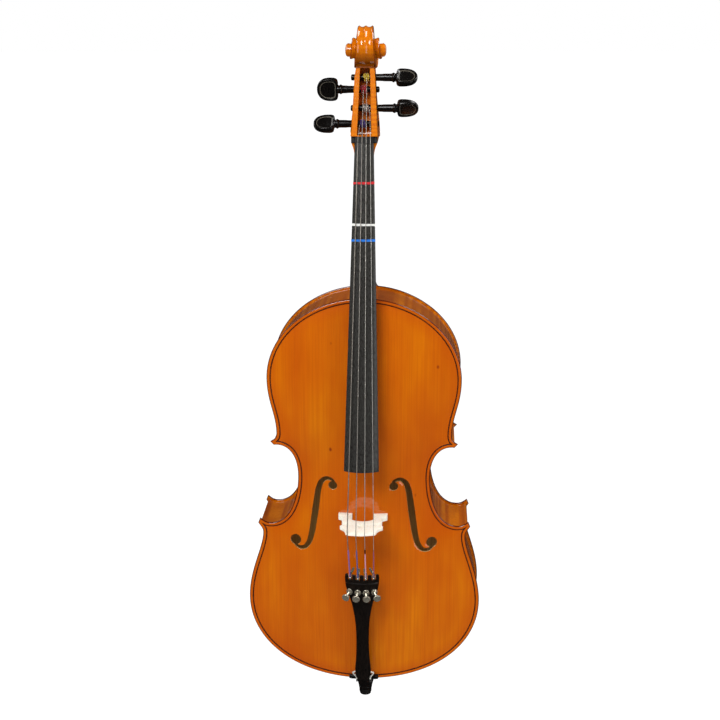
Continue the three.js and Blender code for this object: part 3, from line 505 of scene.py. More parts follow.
def tape_vinyl(name, colour, worn):
    """Thin coloured tape with rubbed patches and faint crinkles."""
    look = Look(name, Specular_IOR_Level=0.4)
    rub = look.noise((260, 90, 420), 4, 0.65)
    crinkle = look.noise((500, 500, 900), 3)
    base = look.mix(look.ease(rub, 0.52, 0.75, 0.0, 0.7), colour, worn)
    return look.finish(base, look.ease(rub, 0.3, 0.7, 0.32, 0.6), look.bump(crinkle, 0.3, 0.0002))


def rubber():
    """Matt black rubber, dusty in patches."""
    look = Look("foot_black_rubber", Specular_IOR_Level=0.35)
    dust = look.noise((120, 120, 120), 4)
    grit = look.noise((1600, 1600, 1600), 2)
    base = look.ramp(dust, (0.4, "#0b0b0b"), (0.75, "#222120"))
    return look.finish(base, look.ease(dust, 0.3, 0.7, 0.5, 0.8), look.bump(grit, 0.3, 0.0002))


SPRUCE_VARNISH = spruce_varnish()
MAPLE_VARNISH = maple_varnish("maple_varnish", (0, 0, 34))
RIB_VARNISH = maple_varnish("rib_varnish", (26, 0, 34), "#d67a00", "#9c4600", "#b85c00", 0.8)
# The scroll's varnish, with a painted shade in its throat (the last argument).
SCROLL_VARNISH = maple_varnish("scroll_varnish", (0, 14, 40), "#ea8c00", "#b45400", "#d67200", 0.4, 0.85)
SCROLL_EDGE = maple_varnish("scroll_edge", (0, 14, 40), "#9a4600", "#6a2600", "#843600", 0.3)
EBONY = ebony()
PEG_EBONY = ebony("peg_ebony", "#0e0b09", "#030202", (0.18, 0.3))
NUT_EBONY = ebony("nut_ebony", "#0c0a09", "#040303", (0.55, 0.7))
# Lighter ebony for a painted highlight on the dished faces of the pegs' heads.
PEG_RIM_HIGHLIGHT = ebony("peg_rim_highlight", "#6a655a", "#47433b", (0.2, 0.3))
PLUG_EBONY = ebony("plug_ebony", "#1c100a", "#060403", (0.3, 0.5))
TAIL_EBONY = ebony("tail_ebony", "#1a110c", "#050302", (0.26, 0.44))
BOARD_EBONY = ebony("board_ebony", "#343330", "#282725", (0.24, 0.32))
PURFLING_BLACK = ebony("purfling_black", "#2c0a00", "#180400", (0.25, 0.35))
PURFLING_PALE = bare_wood("purfling_pale", "#6a2400", "#4a1400", "#3a1000", (300, 300, 60))
BARE_MAPLE = bare_wood("bare_maple", "#fffdf2", "#fbf3dc", "#d2b078", (260, 200, 520))
RAW_SPRUCE = bare_wood("raw_spruce", "#c9a46a", "#a9824a", "#8a6434", (500, 60, 10))
NICKEL = metal("nickel", "#bdb6a4")
STEEL = metal("steel", "#a9a8a5")
RUBBER = rubber()
WIRES = {
    "c": wound_wire("wire_c", "#9a938a", "#3c3733"),
    "g": wound_wire("wire_g", "#a8a29a", "#4a4540"),
    "d": wound_wire("wire_d", "#c2beb6", "#6a655e"),
    "a": wound_wire("wire_a", "#c9c6c0", "#8a867e"),
}
TAIL_SILK = {
    "c": thread("silk_mauve", "#9a5fae", "#5e2f74"),
    "g": thread("silk_blue", "#3c4fb4", "#1c2148"),
    "d": thread("silk_pink", "#e6b9cf", "#b45a84"),
    "a": thread("silk_magenta", "#a03c74", "#6a2450"),
}
PEG_SILK = {
    "c": thread("silk_purple", "#4c3a8c", "#241a50"),
    "g": thread("silk_red", "#c4141e", "#6a0a10"),
    "d": thread("silk_yellow", "#e8cc32", "#8a6a14"),
    "a": WIRES["a"],
}
NYLON = thread("white_cord", "#efece2", "#b8b4a6")
# A dark cord colour for the stretch that runs below the saddle.
DARK_CORD = thread("cord_dark_below_saddle", "#2a2622", "#141210")
TAPE_LOOKS = {
    "red": tape_vinyl("red_vinyl", "#d8262e", "#8e1a1e"),
    "white": tape_vinyl("white_vinyl", "#f1f1ec", "#b9b9b4"),
    "blue": tape_vinyl("blue_vinyl", "#1f7ae0", "#124a90"),
}


# ---------- camera, light and floor ----------
AMBIENT = 0.36  # white surroundings as they light the object
GLOSS_AMBIENT = 0.03  # and as the varnish reflects them
FLOOR_Z = -0.33  # clear of the end pin when it is fully out
LENS = 64.9
CAMERA_AT = (0.1233, -2.3431, 1.3139)
CAMERA_RIGHT = (0.99839, 0.05667, -0.001)
CAMERA_UP = (-0.01357, 0.25607, 0.96656)
CAMERA_BACK = (0.05503, -0.96499, 0.25643)


def studio():
    """Camera, lamps, surroundings and floor."""
    camera = placed("camera", bpy.data.cameras.new("camera"))
    camera.data.lens = LENS
    camera.data.sensor_width = 36
    axes = Matrix([CAMERA_RIGHT, CAMERA_UP, CAMERA_BACK]).transposed()
    camera.matrix_world = Matrix.Translation(CAMERA_AT) @ axes.to_4x4()
    camera.data.clip_end = 60
    bpy.context.scene.camera = camera

    def softbox(name, at, aim, size, watts):
        light = placed(name, bpy.data.lights.new(name, "AREA"))
        light.data.shape = "RECTANGLE"
        light.data.size, light.data.size_y = size
        light.data.energy = watts
        light.location = at
        light.rotation_mode = "QUATERNION"
        light.rotation_quaternion = (Vector(aim) - Vector(at)).to_track_quat("-Z", "Y")

    softbox("key", (-0.9, -2.3, 2.7), (0, 0, 0.65), (1.5, 1.2), 72)
    softbox("fill", (1.9, -1.7, 1.0), (0, 0, 0.6), (0.9, 1.8), 11)
    softbox("top", (1.2, 0.3, 2.5), (0.15, 0, 0.45), (0.9, 0.9), 22)
    softbox("rim_left", (-1.6, 1.2, 1.9), (0, 0, 0.8), (0.8, 1.6), 10)
    softbox("rim_right", (1.7, 1.3, 1.4), (0, 0, 0.7), (0.8, 1.6), 5)
    # Stands for the light that comes in through the far sound hole.
    glow = placed("inside", bpy.data.lights.new("inside", "POINT"))
    glow.data.energy = 0.08
    glow.data.color = (1, 0.95, 0.7)
    glow.data.shadow_soft_size = 0.03
    glow.location = (-0.02, 0.02, 0.3)

    world = bpy.data.worlds.new("studio")
    world.use_nodes = True
    tree = world.node_tree
    sky = tree.nodes["Background"]
    sky.inputs["Color"].default_value = (1, 1, 1, 1)
    path = tree.nodes.new("ShaderNodeLightPath")
    strength = AMBIENT
    for ray, level in (("Is Camera Ray", 1.0), ("Is Glossy Ray", GLOSS_AMBIENT)):
        pick = tree.nodes.new("ShaderNodeMix")
        tree.links.new(path.outputs[ray], pick.inputs[0])
        pick.inputs[3].default_value = level
        if isinstance(strength, float):
            pick.inputs[2].default_value = strength
        else:
            tree.links.new(strength, pick.inputs[2])
        strength = pick.outputs[0]
    tree.links.new(strength, sky.inputs["Strength"])
    bpy.context.scene.world = world

    points = [[x, y, FLOOR_Z] for x, y in ((-30, -20), (30, -20), (30, 60), (-30, 60))]
    mesh = bpy.data.meshes.new("floor")
    mesh.from_pydata(points, [], [(0, 1, 2, 3)])
    floor = placed("floor", mesh)
    look = Look("floor_paper", Roughness=0.9, Specular_IOR_Level=0.1)
    grey = look.ramp(look.noise((3, 3, 3), 2), (0.3, "#e9e9e9"), (0.7, "#efefef"))
    look.finish(grey)
    shine = look.node("ShaderNodeEmission", {"Color": (1, 1, 1, 1), "Strength": 1.2})
    dim = look.node("ShaderNodeEmission", {"Color": (1, 1, 1, 1), "Strength": GLOSS_AMBIENT})
    rays = look.node("ShaderNodeLightPath").outputs
    share = look.math("MULTIPLY", rays["Is Camera Ray"], 0.85)
    blend = look.node("ShaderNodeMixShader", {0: share, 1: look.shader.outputs[0], 2: shine.outputs[0]})
    inputs = {0: rays["Is Glossy Ray"], 1: blend.outputs[0], 2: dim.outputs[0]}
    blend = look.node("ShaderNodeMixShader", inputs)
    output = look.tree.nodes["Material Output"]
    look.tree.links.new(blend.outputs[0], output.inputs["Surface"])
    mesh.materials.append(look.material)
    bpy.context.scene.view_settings.view_transform = "Standard"


studio()

# ---------- body outline ----------
# Right half of the outline as cubics, from the middle of the upper edge to the middle of the lower edge.
RUNS = [
    [[0, 755], [98, 755], [179, 687], [179, 603]],
    [[179, 603], [179, 558], [162.5, 535], [162.5, 497.5]],
    [[162.5, 497.5], [162.5, 487.5], [167.8, 486.3], [174.3, 481.8]],
    [[174.3, 481.8], [172.1, 479.5], [170, 477.2], [167.8, 474.9]],
    [[167.8, 474.9], [143, 478], [123, 457.5], [123, 415]],
    [[123, 415], [123, 380], [134.5, 320.4], [176.5, 320.4]],
    [[176.5, 320.4], [186, 320.4], [191, 326], [196, 329.5]],
    [[196, 329.5], [197.4, 326.5], [198.7, 323], [200, 319.5]],
    [[200, 319.5], [195, 311], [191, 309], [191, 301]],
    [[191, 301], [191, 270], [219.5, 223], [219.5, 168]],
    [[219.5, 168], [219.5, 71], [127, 0], [0, 0]],
]
# The cubics that start at the corners' tips, and the spacing of points along all of them.
UPPER_TIP_RUN = 3
LOWER_TIP_RUN = 7
OUTLINE_STEP = 3.0


def half_outline():
    """Points down the right side, and where each cubic starts among them."""
    points, starts = [], []
    for run in np.asarray(RUNS, float):
        length = np.linalg.norm(np.diff(run, axis=0), axis=1).sum()
        count = max(3, round(length / OUTLINE_STEP))
        t = (np.arange(count) / count)[:, None]
        starts.append(len(points))
        first_half = (1 - t) ** 3 * run[0] + 3 * t * (1 - t) ** 2 * run[1]
        points += (first_half + 3 * t * t * (1 - t) * run[2] + t ** 3 * run[3]).tolist()
    return np.array(points + [[0, 0]]), starts


HALF, STARTS = half_outline()
OUTLINE = np.vstack([HALF, HALF[-2:0:-1] * [-1, 1]])


def edge_distance(points, outline):
    """Distance from each point to a closed outline."""
    a = outline
    ab = np.roll(outline, -1, 0) - a
    out = np.empty(len(points))
    for k in range(0, len(points), 1500):
        p = points[k:k + 1500, None, :]
        t = np.clip(((p - a) * ab).sum(-1) / (ab * ab).sum(-1), 0, 1)
        out[k:k + 1500] = np.sqrt((((a + ab * t[..., None]) - p) ** 2).sum(-1)).min(1)
    return out


def inner_depth(points):
    """A smooth stand-in for the distance to the outline, with no creases inside it."""
    a = OUTLINE
    b = np.roll(OUTLINE, -1, 0)
    out = np.empty(len(points))
    for k in range(0, len(points), 1500):
        p = points[k:k + 1500, None, :]
        va, vb = a - p, b - p
        ra = np.maximum(np.sqrt((va ** 2).sum(-1)), 1e-6)
        rb = np.roll(ra, -1, 1)
        cross = va[..., 1] * vb[..., 0] - va[..., 0] * vb[..., 1]
        turn = cross / np.maximum(ra * rb + (va * vb).sum(-1), 1e-9)
        out[k:k + 1500] = 2 / np.maximum((turn * (1 / ra + 1 / rb)).sum(1), 1e-6)
    return out


def inset(outline, d):
    """The outline moved inwards by d, point for point; points that would cross at a corner meet there."""
    if d == 0:
        return outline.copy()
    before = outline - np.roll(outline, 1, 0)
    after = np.roll(outline, -1, 0) - outline
    n1 = np.column_stack([before[:, 1], -before[:, 0]]) / np.linalg.norm(before, axis=1)[:, None]
    n2 = np.column_stack([after[:, 1], -after[:, 0]]) / np.linalg.norm(after, axis=1)[:, None]
    spread = 1 + (n1 * n2).sum(1)
    moved = outline + (n1 + n2) * np.minimum(d / spread, d * 1.3)[:, None]
    good = edge_distance(moved, outline) > d - 0.02
    count = len(outline)
    i = 0
    while i < count:
        if good[i] or not good[i - 1]:
            i += 1
            continue
        j = i
        while not good[j % count]:
            j += 1
        (a, b), (c, e) = (moved[i - 2], moved[i - 1]), (moved[j % count], moved[(j + 1) % count])
        meet = geometry.intersect_line_line_2d(a, b + (b - a) * 12, e, c + (c - e) * 12)
        meet = np.array(meet) if meet else (b + c) / 2
        for k in range(i, j):
            moved[k % count] = meet
        i = j
    return moved


def arch_share(points):
    """Share of the arch's full height at each point, from 0 at the outline to 1 along the crown."""
    depth = inner_depth(points)
    z = np.linspace(20, 735, 144)
    crown = inner_depth(np.column_stack([np.zeros_like(z), z]))
    low, high = z[:60][crown[:60].argmax()], z[-60:][crown[-60:].argmax()]
    level = np.interp(np.clip(points[:, 1], low, high), z, crown)
    q = np.minimum(depth / level, 1)
    along = 1 - 0.14 * ((np.clip(points[:, 1], 120, 660) - 390) / 270) ** 2
    return along * q * q * (1.45 - 0.45 * q)


# ---------- belly and back ----------
# Distances inwards from the outline at which a plate has rings of points.
EDGE_RINGS = [0, 0.12, 0.45, 1.0, 1.8, 2.7, 3.8, 4.9, 5.8, 6.6, 7.3, 8.1, 9.4, 11.2, 13.6, 17, 21]
PURFLING = {8: 1, 9: 2, 10: 1}  # band between rings, and its material
VARNISHED_RINGS = 8  # how far the varnish reaches under the overhang
# Against distance from the outline: how far the surface stands above the plain arch.
EDGE_LIFT = [[0, 0.45], [2.7, 0.5], [4.9, 0.1], [8.4, -1.2], [12, -0.8], [21, 0], [30, 0]]
BEAD = 2.7  # width of the rounded edge
LATTICE = 6.0  # spacing of points over the rest of a plate


def triangulated(coords, loops, near):
    """Points, triangles, and the loops that each triangle lies in."""
    corners = [Vector(c) for c in coords]
    flat, _, triangles, _, _, origins = geometry.delaunay_2d_cdt(corners, [], loops, 1, near, True)
    return np.array([tuple(v) for v in flat]), triangles, origins


def turning(loop):
    """Twice the area of a loop, positive where it runs anticlockwise."""
    x, z = np.array(loop).T
    return (x * np.roll(z, -1) - np.roll(x, -1) * z).sum()


def without(points, rings, clear):
    """The points that stay clear of every ring by a distance."""
    for ring in rings:
        points = points[edge_distance(points, ring) > clear]
    return points


def plate(name, outline, arch, edge_y, outward, looks, holes=(), chamfers=()):
    """An arched plate with a rounded edge, purfling and holes, meshed between rings along its outline."""
    loops = [outline] + [inset(outline, d) for d in EDGE_RINGS[1:]]
    coords, faces = [], []
    for loop in [*loops, *chamfers, *holes]:
        kept = [p for p, q in zip(loop, np.roll(loop, 1, 0)) if np.linalg.norm(p - q) > 0.05]
        kept = kept if turning(kept) > 0 else kept[::-1]
        faces.append(list(range(len(coords), len(coords) + len(kept))))
        coords += [tuple(p) for p in kept]
    first_hole = len(loops) + len(chamfers)
    xs, zs = np.arange(-216, 217, LATTICE), np.arange(10, 760, LATTICE * 0.866)
    lattice = np.array([[x + (k % 2) * LATTICE / 2, z] for k, z in enumerate(zs) for x in xs])
    lattice = lattice[edge_distance(lattice, outline) > EDGE_RINGS[-1] + 3]
    lattice = lattice[inside_outline(lattice, loops[-1])]
    lattice = without(lattice, [*holes, *chamfers], 2.6)
    coords += [tuple(p) for p in lattice]
    flat, triangles, origins = triangulated(coords, faces, 1e-4)
    kept, bands = [], []
    for triangle, origin in zip(triangles, origins):
        if 0 not in origin or any(i >= first_hole for i in origin):
            continue
        kept.append(triangle)
        bands.append(sum(1 for i in origin if i < len(loops)) - 1)
    used = sorted({i for t in kept for i in t})
    renumber = {old: new for new, old in enumerate(used)}
    flat = flat[used]
    kept = [[renumber[i] for i in t] for t in kept]

    distance = edge_distance(flat, outline)
    share = arch * arch_share(flat)
    bead = np.sqrt(np.clip(1 - (1 - np.minimum(distance / BEAD, 1)) ** 2, 0, 1))
    top = share + smooth(EDGE_LIFT, distance)
    top = np.where(distance < BEAD, -PLATE / 2 + (PLATE / 2 + top) * bead, top)
    under = -PLATE + share * step(9, 28, distance)
    under = np.where(distance < BEAD, -PLATE / 2 + (under + PLATE / 2) * bead, under)

    edges = {}
    for t in kept:
        for a, b in zip(t, t[1:] + t[:1]):
            edges[(a, b)] = edges.get((b, a)) is None
            if (b, a) in edges:
                edges[(a, b)] = edges[(b, a)] = False
    rim = [e for e, open_edge in edges.items() if open_edge]
    on_rim = {i for e in rim for i in e}
    outer = {i for i in on_rim if distance[i] < 0.02}
    for i in on_rim - outer:
        top[i] -= 0.4

    n = len(flat)
    other = [i if i in outer else i + n for i in range(n)]
    points = np.zeros((2 * n, 3))
    points[:, 0] = np.tile(flat[:, 0], 2)
    points[:, 2] = np.tile(flat[:, 1], 2)
    points[:n, 1] = edge_y + outward * top
    points[n:, 1] = edge_y + outward * under
    skin = [tuple(t) for t in kept]
    skin += [tuple(other[i] for i in reversed(t)) for t in kept]
    skin += [(b, a, other[a], other[b]) for a, b in rim if a not in outer and b not in outer]
    paint = [PURFLING.get(b, 0) for b in bands] + [0 if b < VARNISHED_RINGS else 3 for b in bands]
    paint += [3] * (len(skin) - len(paint))

    mesh = bpy.data.meshes.new(name)
    mesh.from_pydata(to_frame(points).tolist(), [], skin)
    for look in looks:
        mesh.materials.append(look)
    mesh.polygons.foreach_set("material_index", paint)
    layer = mesh.attributes.new("edge_mm", "FLOAT", "POINT")
    layer.data.foreach_set("value", np.tile(distance, 2).astype(np.float32))
    bm = bmesh.new()
    bm.from_mesh(mesh)
    bmesh.ops.delete(bm, geom=[v for v in bm.verts if not v.link_faces], context="VERTS")
    bmesh.ops.recalc_face_normals(bm, faces=bm.faces)
    bm.to_mesh(mesh)
    bm.free()
    return placed(name, mesh)


def inside_outline(points, outline):
    """Which points lie inside a closed outline."""
    x, z = points[:, 0][:, None], points[:, 1][:, None]
    x0, z0 = outline[:, 0], outline[:, 1]
    x1, z1 = np.roll(x0, -1), np.roll(z0, -1)
    crosses = (z0 > z) != (z1 > z)
    at = x0 + (z - z0) * (x1 - x0) / np.where(z1 == z0, 1e-9, z1 - z0)
    return (crosses & (x < at)).sum(1) % 2 == 1


# ---------- sound holes ----------
# The right hole as (x, z, width) along its middle, its eyes as (x, z, radius), and its nicks.
F_LINE = [[54, 411, 5], [60, 415.6, 6.2], [69, 416.6, 7.6], [78, 409.5, 9.2], [83.4, 396, 10.6],
          [87, 375, 11.6], [90, 353, 12.2], [93.4, 330, 11.8], [97.4, 306, 10.8], [103.4, 287, 9.4],
          [112, 277.4, 8.2], [122, 277, 6.8], [130, 283.5, 4.8]]
F_EYES = [(56.5, 404, 8.2), (128, 291, 10)]
NICK_CENTRE = [90, 353]
NICK = [[81.4, 353], [90, 355.6], [98.6, 353], [90, 350.4]]


def sound_hole(side, grow):
    """The loops whose union is one sound hole, all round larger by grow."""
    line = through(F_LINE, 70)
    run = np.gradient(line[:, :2], axis=0)
    run /= np.linalg.norm(run, axis=1)[:, None]
    across = np.column_stack([-run[:, 1], run[:, 0]]) * (line[:, 2:3] / 2 + grow)
    strip_loop = np.vstack([line[:, :2] + across, (line[:, :2] - across)[::-1]])
    angle = np.linspace(0, 2 * math.pi, 32, endpoint=False)
    round_loop = np.column_stack([np.cos(angle), np.sin(angle)])
    circles = [[x, z] + (r + grow) * round_loop for x, z, r in F_EYES]
    nick = np.array(NICK, float)
    nick = nick + (nick - NICK_CENTRE) * grow / 6
    return [loop * [side, 1] for loop in (strip_loop, *circles, nick)]


HOLES = [loop for side in (1, -1) for loop in sound_hole(side, 0)]
CHAMFERS = [loop for side in (1, -1) for loop in sound_hole(side, 0.45)]


BUTTON_RADIUS = 18
BUTTON_Z = 752


def box_plates():
    """The belly, and the back with the button behind the neck's heel."""
    looks = [SPRUCE_VARNISH, PURFLING_BLACK, PURFLING_PALE, RAW_SPRUCE]
    belly = plate("belly", OUTLINE, BELLY_ARCH, 0, -1, looks, HOLES, CHAMFERS)
    finish_piece(belly, None, nodes=["top_plate"], crease=40)
    angle = np.linspace(80, -80, 25) * math.pi / 180
    button = np.column_stack([-BUTTON_RADIUS * np.sin(angle), BUTTON_Z + BUTTON_RADIUS * np.cos(angle)])
    button = button[button[:, 1] > BODY_LENGTH + 0.1]
    ring = OUTLINE[np.abs(OUTLINE[:, 0]) + (OUTLINE[:, 1] < 700) * 99 > BUTTON_RADIUS + 0.5]
    right, left = ring[ring[:, 0] > 0], ring[ring[:, 0] < 0]
    middle_low = OUTLINE[(np.abs(OUTLINE[:, 0]) < 1e-6) & (OUTLINE[:, 1] < 100)]
    shape = np.vstack([button, right, middle_low, left])
    looks = [MAPLE_VARNISH, PURFLING_BLACK, PURFLING_PALE, RAW_SPRUCE]
    back = plate("back", shape, BACK_ARCH, BODY_DEPTH, 1, looks)
    finish_piece(back, None, nodes=["back_plate"], crease=40)


box_plates()


# ---------- ribs ----------
def ribs():
    """Six bent strips, meeting at the corner tips and at both ends of the body."""
    outer, inner = inset(OUTLINE, 4.0), inset(OUTLINE, 5.6)
    upper_tip = STARTS[UPPER_TIP_RUN] + 1
    lower_tip = STARTS[LOWER_TIP_RUN] + 1
    zones = {"upper": (0, upper_tip), "middle": (upper_tip, lower_tip), "lower": (lower_tip, len(HALF) - 1)}
    levels = np.linspace(PLATE, BODY_DEPTH - PLATE, 9)
    for zone, (start, stop) in zones.items():
        for side, name in ((1, "right"), (-1, "left")):
            rings = []
            for i in range(start, stop + 1):
                (ox, oz), (ix, iz) = outer[i], inner[i]
                ring = [[ox * side, y, oz] for y in levels] + [[ix * side, y, iz] for y in levels[::-1]]
                rings.append(ring)
            node = f"rib_{zone}_{name}"
            finish_piece(mesh_object(node + "_bent", *loft(rings)), RIB_VARNISH, nodes=[node],
                         crease=50)


ribs()

# ---------- neck, pegbox and scroll ----------
# Against turns round the eye: the scroll's radius, and its half width.
SCROLL_R = [[-0.6, 48], [-0.32, 46], [0, 42], [0.25, 37], [0.5, 30.5], [0.75, 25], [1, 21.5], [1.25, 18],
            [1.5, 15.5], [1.75, 13.5], [2.1, 11.4]]
SCROLL_HALF = [[-0.32, 14.6], [0, 13.4], [0.25, 16.4], [0.5, 20.6], [0.75, 22.2], [1, 23.8], [1.25, 25.4],
               [1.5, 28.4], [1.75, 31.2], [2.1, 33.8]]
# The pegbox's back up to where the turns start, as (y, z), and the eye, as (radius, x).
BACK_LINE = [[54.6, 1039], [60.8, 1055], [66.3, 1075], [72.5, 1110], [79.5, 1138], [90, 1158], [103, 1172],
             [113, 1188]]
EYE_PROFILE = [[0, -36.4], [5, -36.1], [8.6, -35.2], [10.7, -33.4], [11.4, -31], [11.4, 31], [10.7, 33.4],
               [8.6, 35.2], [5, 36.1], [0, 36.4]]
# Sections of the heel, from the button to the shaft: front y and z, back y and z, half width.
HEEL_SECTIONS = [[120.2, 745, 120.2, 769.4, 17.2], [104, 745, 104, 770, 17.8], [85, 745, 85, 771, 18.5],
                 [66, 745, 69, 772.2, 19.2], [47, 745, 55, 774, 19.9], [30, 745, 44, 776.6, 20.5],
                 [13, 745, 35, 780, 21], [-3, 745, 28.6, 784, 21.4], [-17, 746, 23, 789, 21.8],
                 [-25, 753, 18.8, 795, 22], [-22.4, 768, 15.2, 801, 22.2], [-19.5, 785, 13.2, 808.5, 22.3],
                 [-17, 800, 12.3, 818, 22.2], [-13.6, 820, 13.2, 832, 22]]
FLARE = 0.13  # widening of the pegbox's back edges near its lower end, as a share
BOX_Z = 1042  # lower end of the open pegbox
BOX_LENGTH = 118
SHAFT_DEPTH = [[835, 26], [850, 25.2], [900, 23.5], [1008, 21]]


def board_y(z):
    """Middle of the fingerboard's playing face."""
    return -NECK_RISE + NECK_SLOPE * (z - BODY_LENGTH)


def board_half(z):
    """Half the fingerboard's width."""
    share = (NUT_Z - z) / (NUT_Z - BOARD_END_Z)
    return (BOARD_WIDTHS[0] + (BOARD_WIDTHS[1] - BOARD_WIDTHS[0]) * share) / 2


def sag(x):
    """How far the fingerboard's face falls away at x from its middle."""
    return BOARD_RADIUS - np.sqrt(BOARD_RADIUS ** 2 - np.square(x))


def under_y(z):
    """The glue face between neck and fingerboard."""
    low, high = (board_y(h) + sag(board_half(h)) + BOARD_EDGE for h in (BOARD_END_Z, NUT_Z))
    return low + (high - low) * (z - BOARD_END_Z) / (NUT_Z - BOARD_END_Z)


def box_front(z):
    """Front edge of the pegbox's walls."""
    return 17 + 0.225 * (z - BOX_Z)


def box_half(z):
    """Half the pegbox's width."""
    return 23.4 - 6.1 * (z - BOX_Z) / BOX_LENGTH


def neck_section(half, depth, square, hollow_half=8.0, hollow_depth=0.0, count=45):
    """Points (x, depth): round-backed where square is 0, a box with round corners where it is 1."""
    angle = np.linspace(0, math.pi, 91)
    round_back = evenly(np.column_stack([half * np.cos(angle), 1 + (depth - 1) * np.sin(angle) ** 0.85]),
                        count)
    corner = 4.0
    bend = np.linspace(0, math.pi / 2, 9)
    right = np.column_stack([half - corner + corner * np.cos(bend), depth - corner + corner * np.sin(bend)])
    box = evenly(np.vstack([[half, 1], right, right[::-1] * [-1, 1], [-half, 1]]), count)
    back = round_back + (box - round_back) * square
    w, d = hollow_half, hollow_depth
    soft = min(d, 2.5)
    front = [[-half + 1, 0], [-w, 0], [-w, d - soft], [-w + soft, d], [w - soft, d], [w, d - soft], [w, 0],
             [half - 1, 0]]
    return np.vstack([back, front])


def neck_body():
    """The neck from its heel through the shaft to the pegbox, as one loft of cross-sections."""
    rings = []

    def add(front, back, *section):
        front, back = np.array(front), np.array(back)
        depth = np.linalg.norm(back - front)
        line = neck_section(section[0], depth, *section[1:])
        back_share = np.clip(line[:, 1] / depth, 0, 1)
        wall = np.abs(line[:, 0]) > section[0] * 0.7
        rise, fall = step(1018, 1044, back[1]), 1 - step(1052, 1120, back[1])
        line[:, 0] *= 1 + wall * back_share * FLARE * rise * fall
        at = front + np.outer(line[:, 1], (back - front) / depth)
        rings.append(np.column_stack([line[:, 0], at]))

    for fy, fz, by, bz, half in HEEL_SECTIONS:
        add((fy, fz), (by, bz), half, 0.0)
    for z in np.linspace(840, 1008, 15):
        add((under_y(z), z), (under_y(z) + smooth(SHAFT_DEPTH, z), z), board_half(z) - 0.3, 0.0)
    back_y = [[1008, 39.2], [1016, 42], [1026, 46.8], [1034, 51.4], [1041, 54.9], [1050, 57], [1060, 59.6],
              [1075, 63.6], [1110, 70], [1138, 77], [1158, 86.5], [1172, 98]]
    flare = [[1008, 17.4], [1016, 18.2], [1022, 19.8], [1027, 21.8], [1031, 23], [1034, 23.4]]
    floor = [[1042, 34], [1100, 33], [1160, 25]]
    for z in [1014, 1018, 1022, 1026, 1029, 1032, 1036, 1041.8]:
        add((under_y(z), z), (smooth(back_y, z), z), smooth(flare, z), step(1010, 1046, z))
    for z in [1042.1, 1043.6, 1043.7, 1047, *range(1052, 1157, 5), 1158.4, 1158.5, 1161]:
        deep = smooth(floor, z) if 1043.65 < z < 1158.45 else 0.0
        half = box_half(z) - 2.2 * step(1140, 1172, z)
        wall = 13 - 4.3 * (z - BOX_Z) / BOX_LENGTH
        add((box_front(z), z), (smooth(back_y, z), z), half, step(1010, 1046, z), wall, deep)
    for y, z in ((49, 1165), (60, 1170)):
        add((y, z), (smooth(back_y, z), z), box_half(z) - 2.2 * step(1140, 1172, z), 1.0)
    return loft(rings)


def scroll_ribbons():
    """The fluted back and the turns of the scroll as short overlapping solids, with painted edges."""
    turns = np.arange(-0.2, 2.07, 0.05)
    radius = smooth(SCROLL_R, turns)
    coil = np.column_stack([EYE_Y - radius * np.sin(2 * math.pi * turns),
                            EYE_Z + radius * np.cos(2 * math.pi * turns)])
    path = through(np.vstack([BACK_LINE, coil]), 340)
    along = np.gradient(path, axis=0)
    along /= np.linalg.norm(along, axis=1)[:, None]
    square = np.column_stack([-along[:, 1], along[:, 0]])
    to_eye = np.array([EYE_Y, EYE_Z]) - path
    reach = np.linalg.norm(to_eye, axis=1)
    turn = np.unwrap(np.arctan2(to_eye[:, 0], -to_eye[:, 1])) / (2 * math.pi) - 1
    winding = step(-0.48, -0.34, turn)
    inward = square + (to_eye / reach[:, None] - square) * winding[:, None]
    inward /= np.linalg.norm(inward, axis=1)[:, None]
    inner = np.where(turn < 1.02, smooth(SCROLL_R, turn + 1) - 1, 5)
    thick = 7 + (reach - inner - 7) * winding
    flare = 1 + FLARE * step(1018, 1044, path[:, 1]) * (1 - step(1052, 1120, path[:, 1]))
    half = box_half(path[:, 1]) * flare + 0.06
    half = half + (smooth(SCROLL_HALF, turn) - half) * step(-0.5, -0.26, turn)
    flute = np.minimum(2.4, 0.17 * half) * step(5, 40, np.arange(len(path)))
    cove = 2.2 * step(-0.15, 0.15, turn)
    rings = []
    for k in range(len(path)):
        w = half[k]
        q = np.linspace(0, 1, 8)
        x = np.concatenate([0.8 + q * (w - 3.0), [w - 1.5, w]])
        drop = np.concatenate([flute[k] * np.sin(math.pi * q) ** 0.8, [0, 1.2]])
        share = np.array([0.15, 0.35, 0.6, 0.8, 1.0])
        side = np.column_stack([w - cove[k] * np.sin(math.pi * np.minimum(share * 1.1, 1)),
                                1.2 + share * (thick[k] - 1.2)])
        right = np.vstack([np.column_stack([x, drop]), side])
        line = np.vstack([right[::-1] * [-1, 1], right])
        at = path[k] + np.outer(line[:, 1], inward[k])
        rings.append(np.column_stack([line[:, 0], at]))
    edge_columns = (5, 23)  # faces beside the two outer edges of each ring
    spans = []
    for start in range(0, len(rings) - 3, 42):
        points, faces = loft(rings[start:start + 45])
        paint = [1 if k % len(rings[0]) in edge_columns and k < len(faces) - 2 else 0
                 for k in range(len(faces))]
        spans.append((points, faces, paint))
    return spans


def peg_radius(x):
    """Taper of a peg's shaft, x being the distance towards its head."""
    return 5.3 + 1.1 * (x + 25) / 60


def neck():
    """Neck, pegbox and scroll in one, bored for the pegs."""
    cuts = []
    for z, side, _, _ in PEGS.values():
        ends = [[peg_radius(x) + BORE_GAP, x] for x in (-40, 40)]
        cuts.append(lathe(ends, [0, box_front(z) + PEG_DEPTH, z], [side, 0, 0], 32))
    parts = [neck_body(), *scroll_ribbons(), lathe(EYE_PROFILE, [0, EYE_Y, EYE_Z], [1, 0, 0], 40)]
    obj = solids("neck_and_scroll", parts, cuts, (SCROLL_VARNISH, SCROLL_EDGE))
    finish_piece(obj, None, nodes=["neck"], crease=30)


neck()


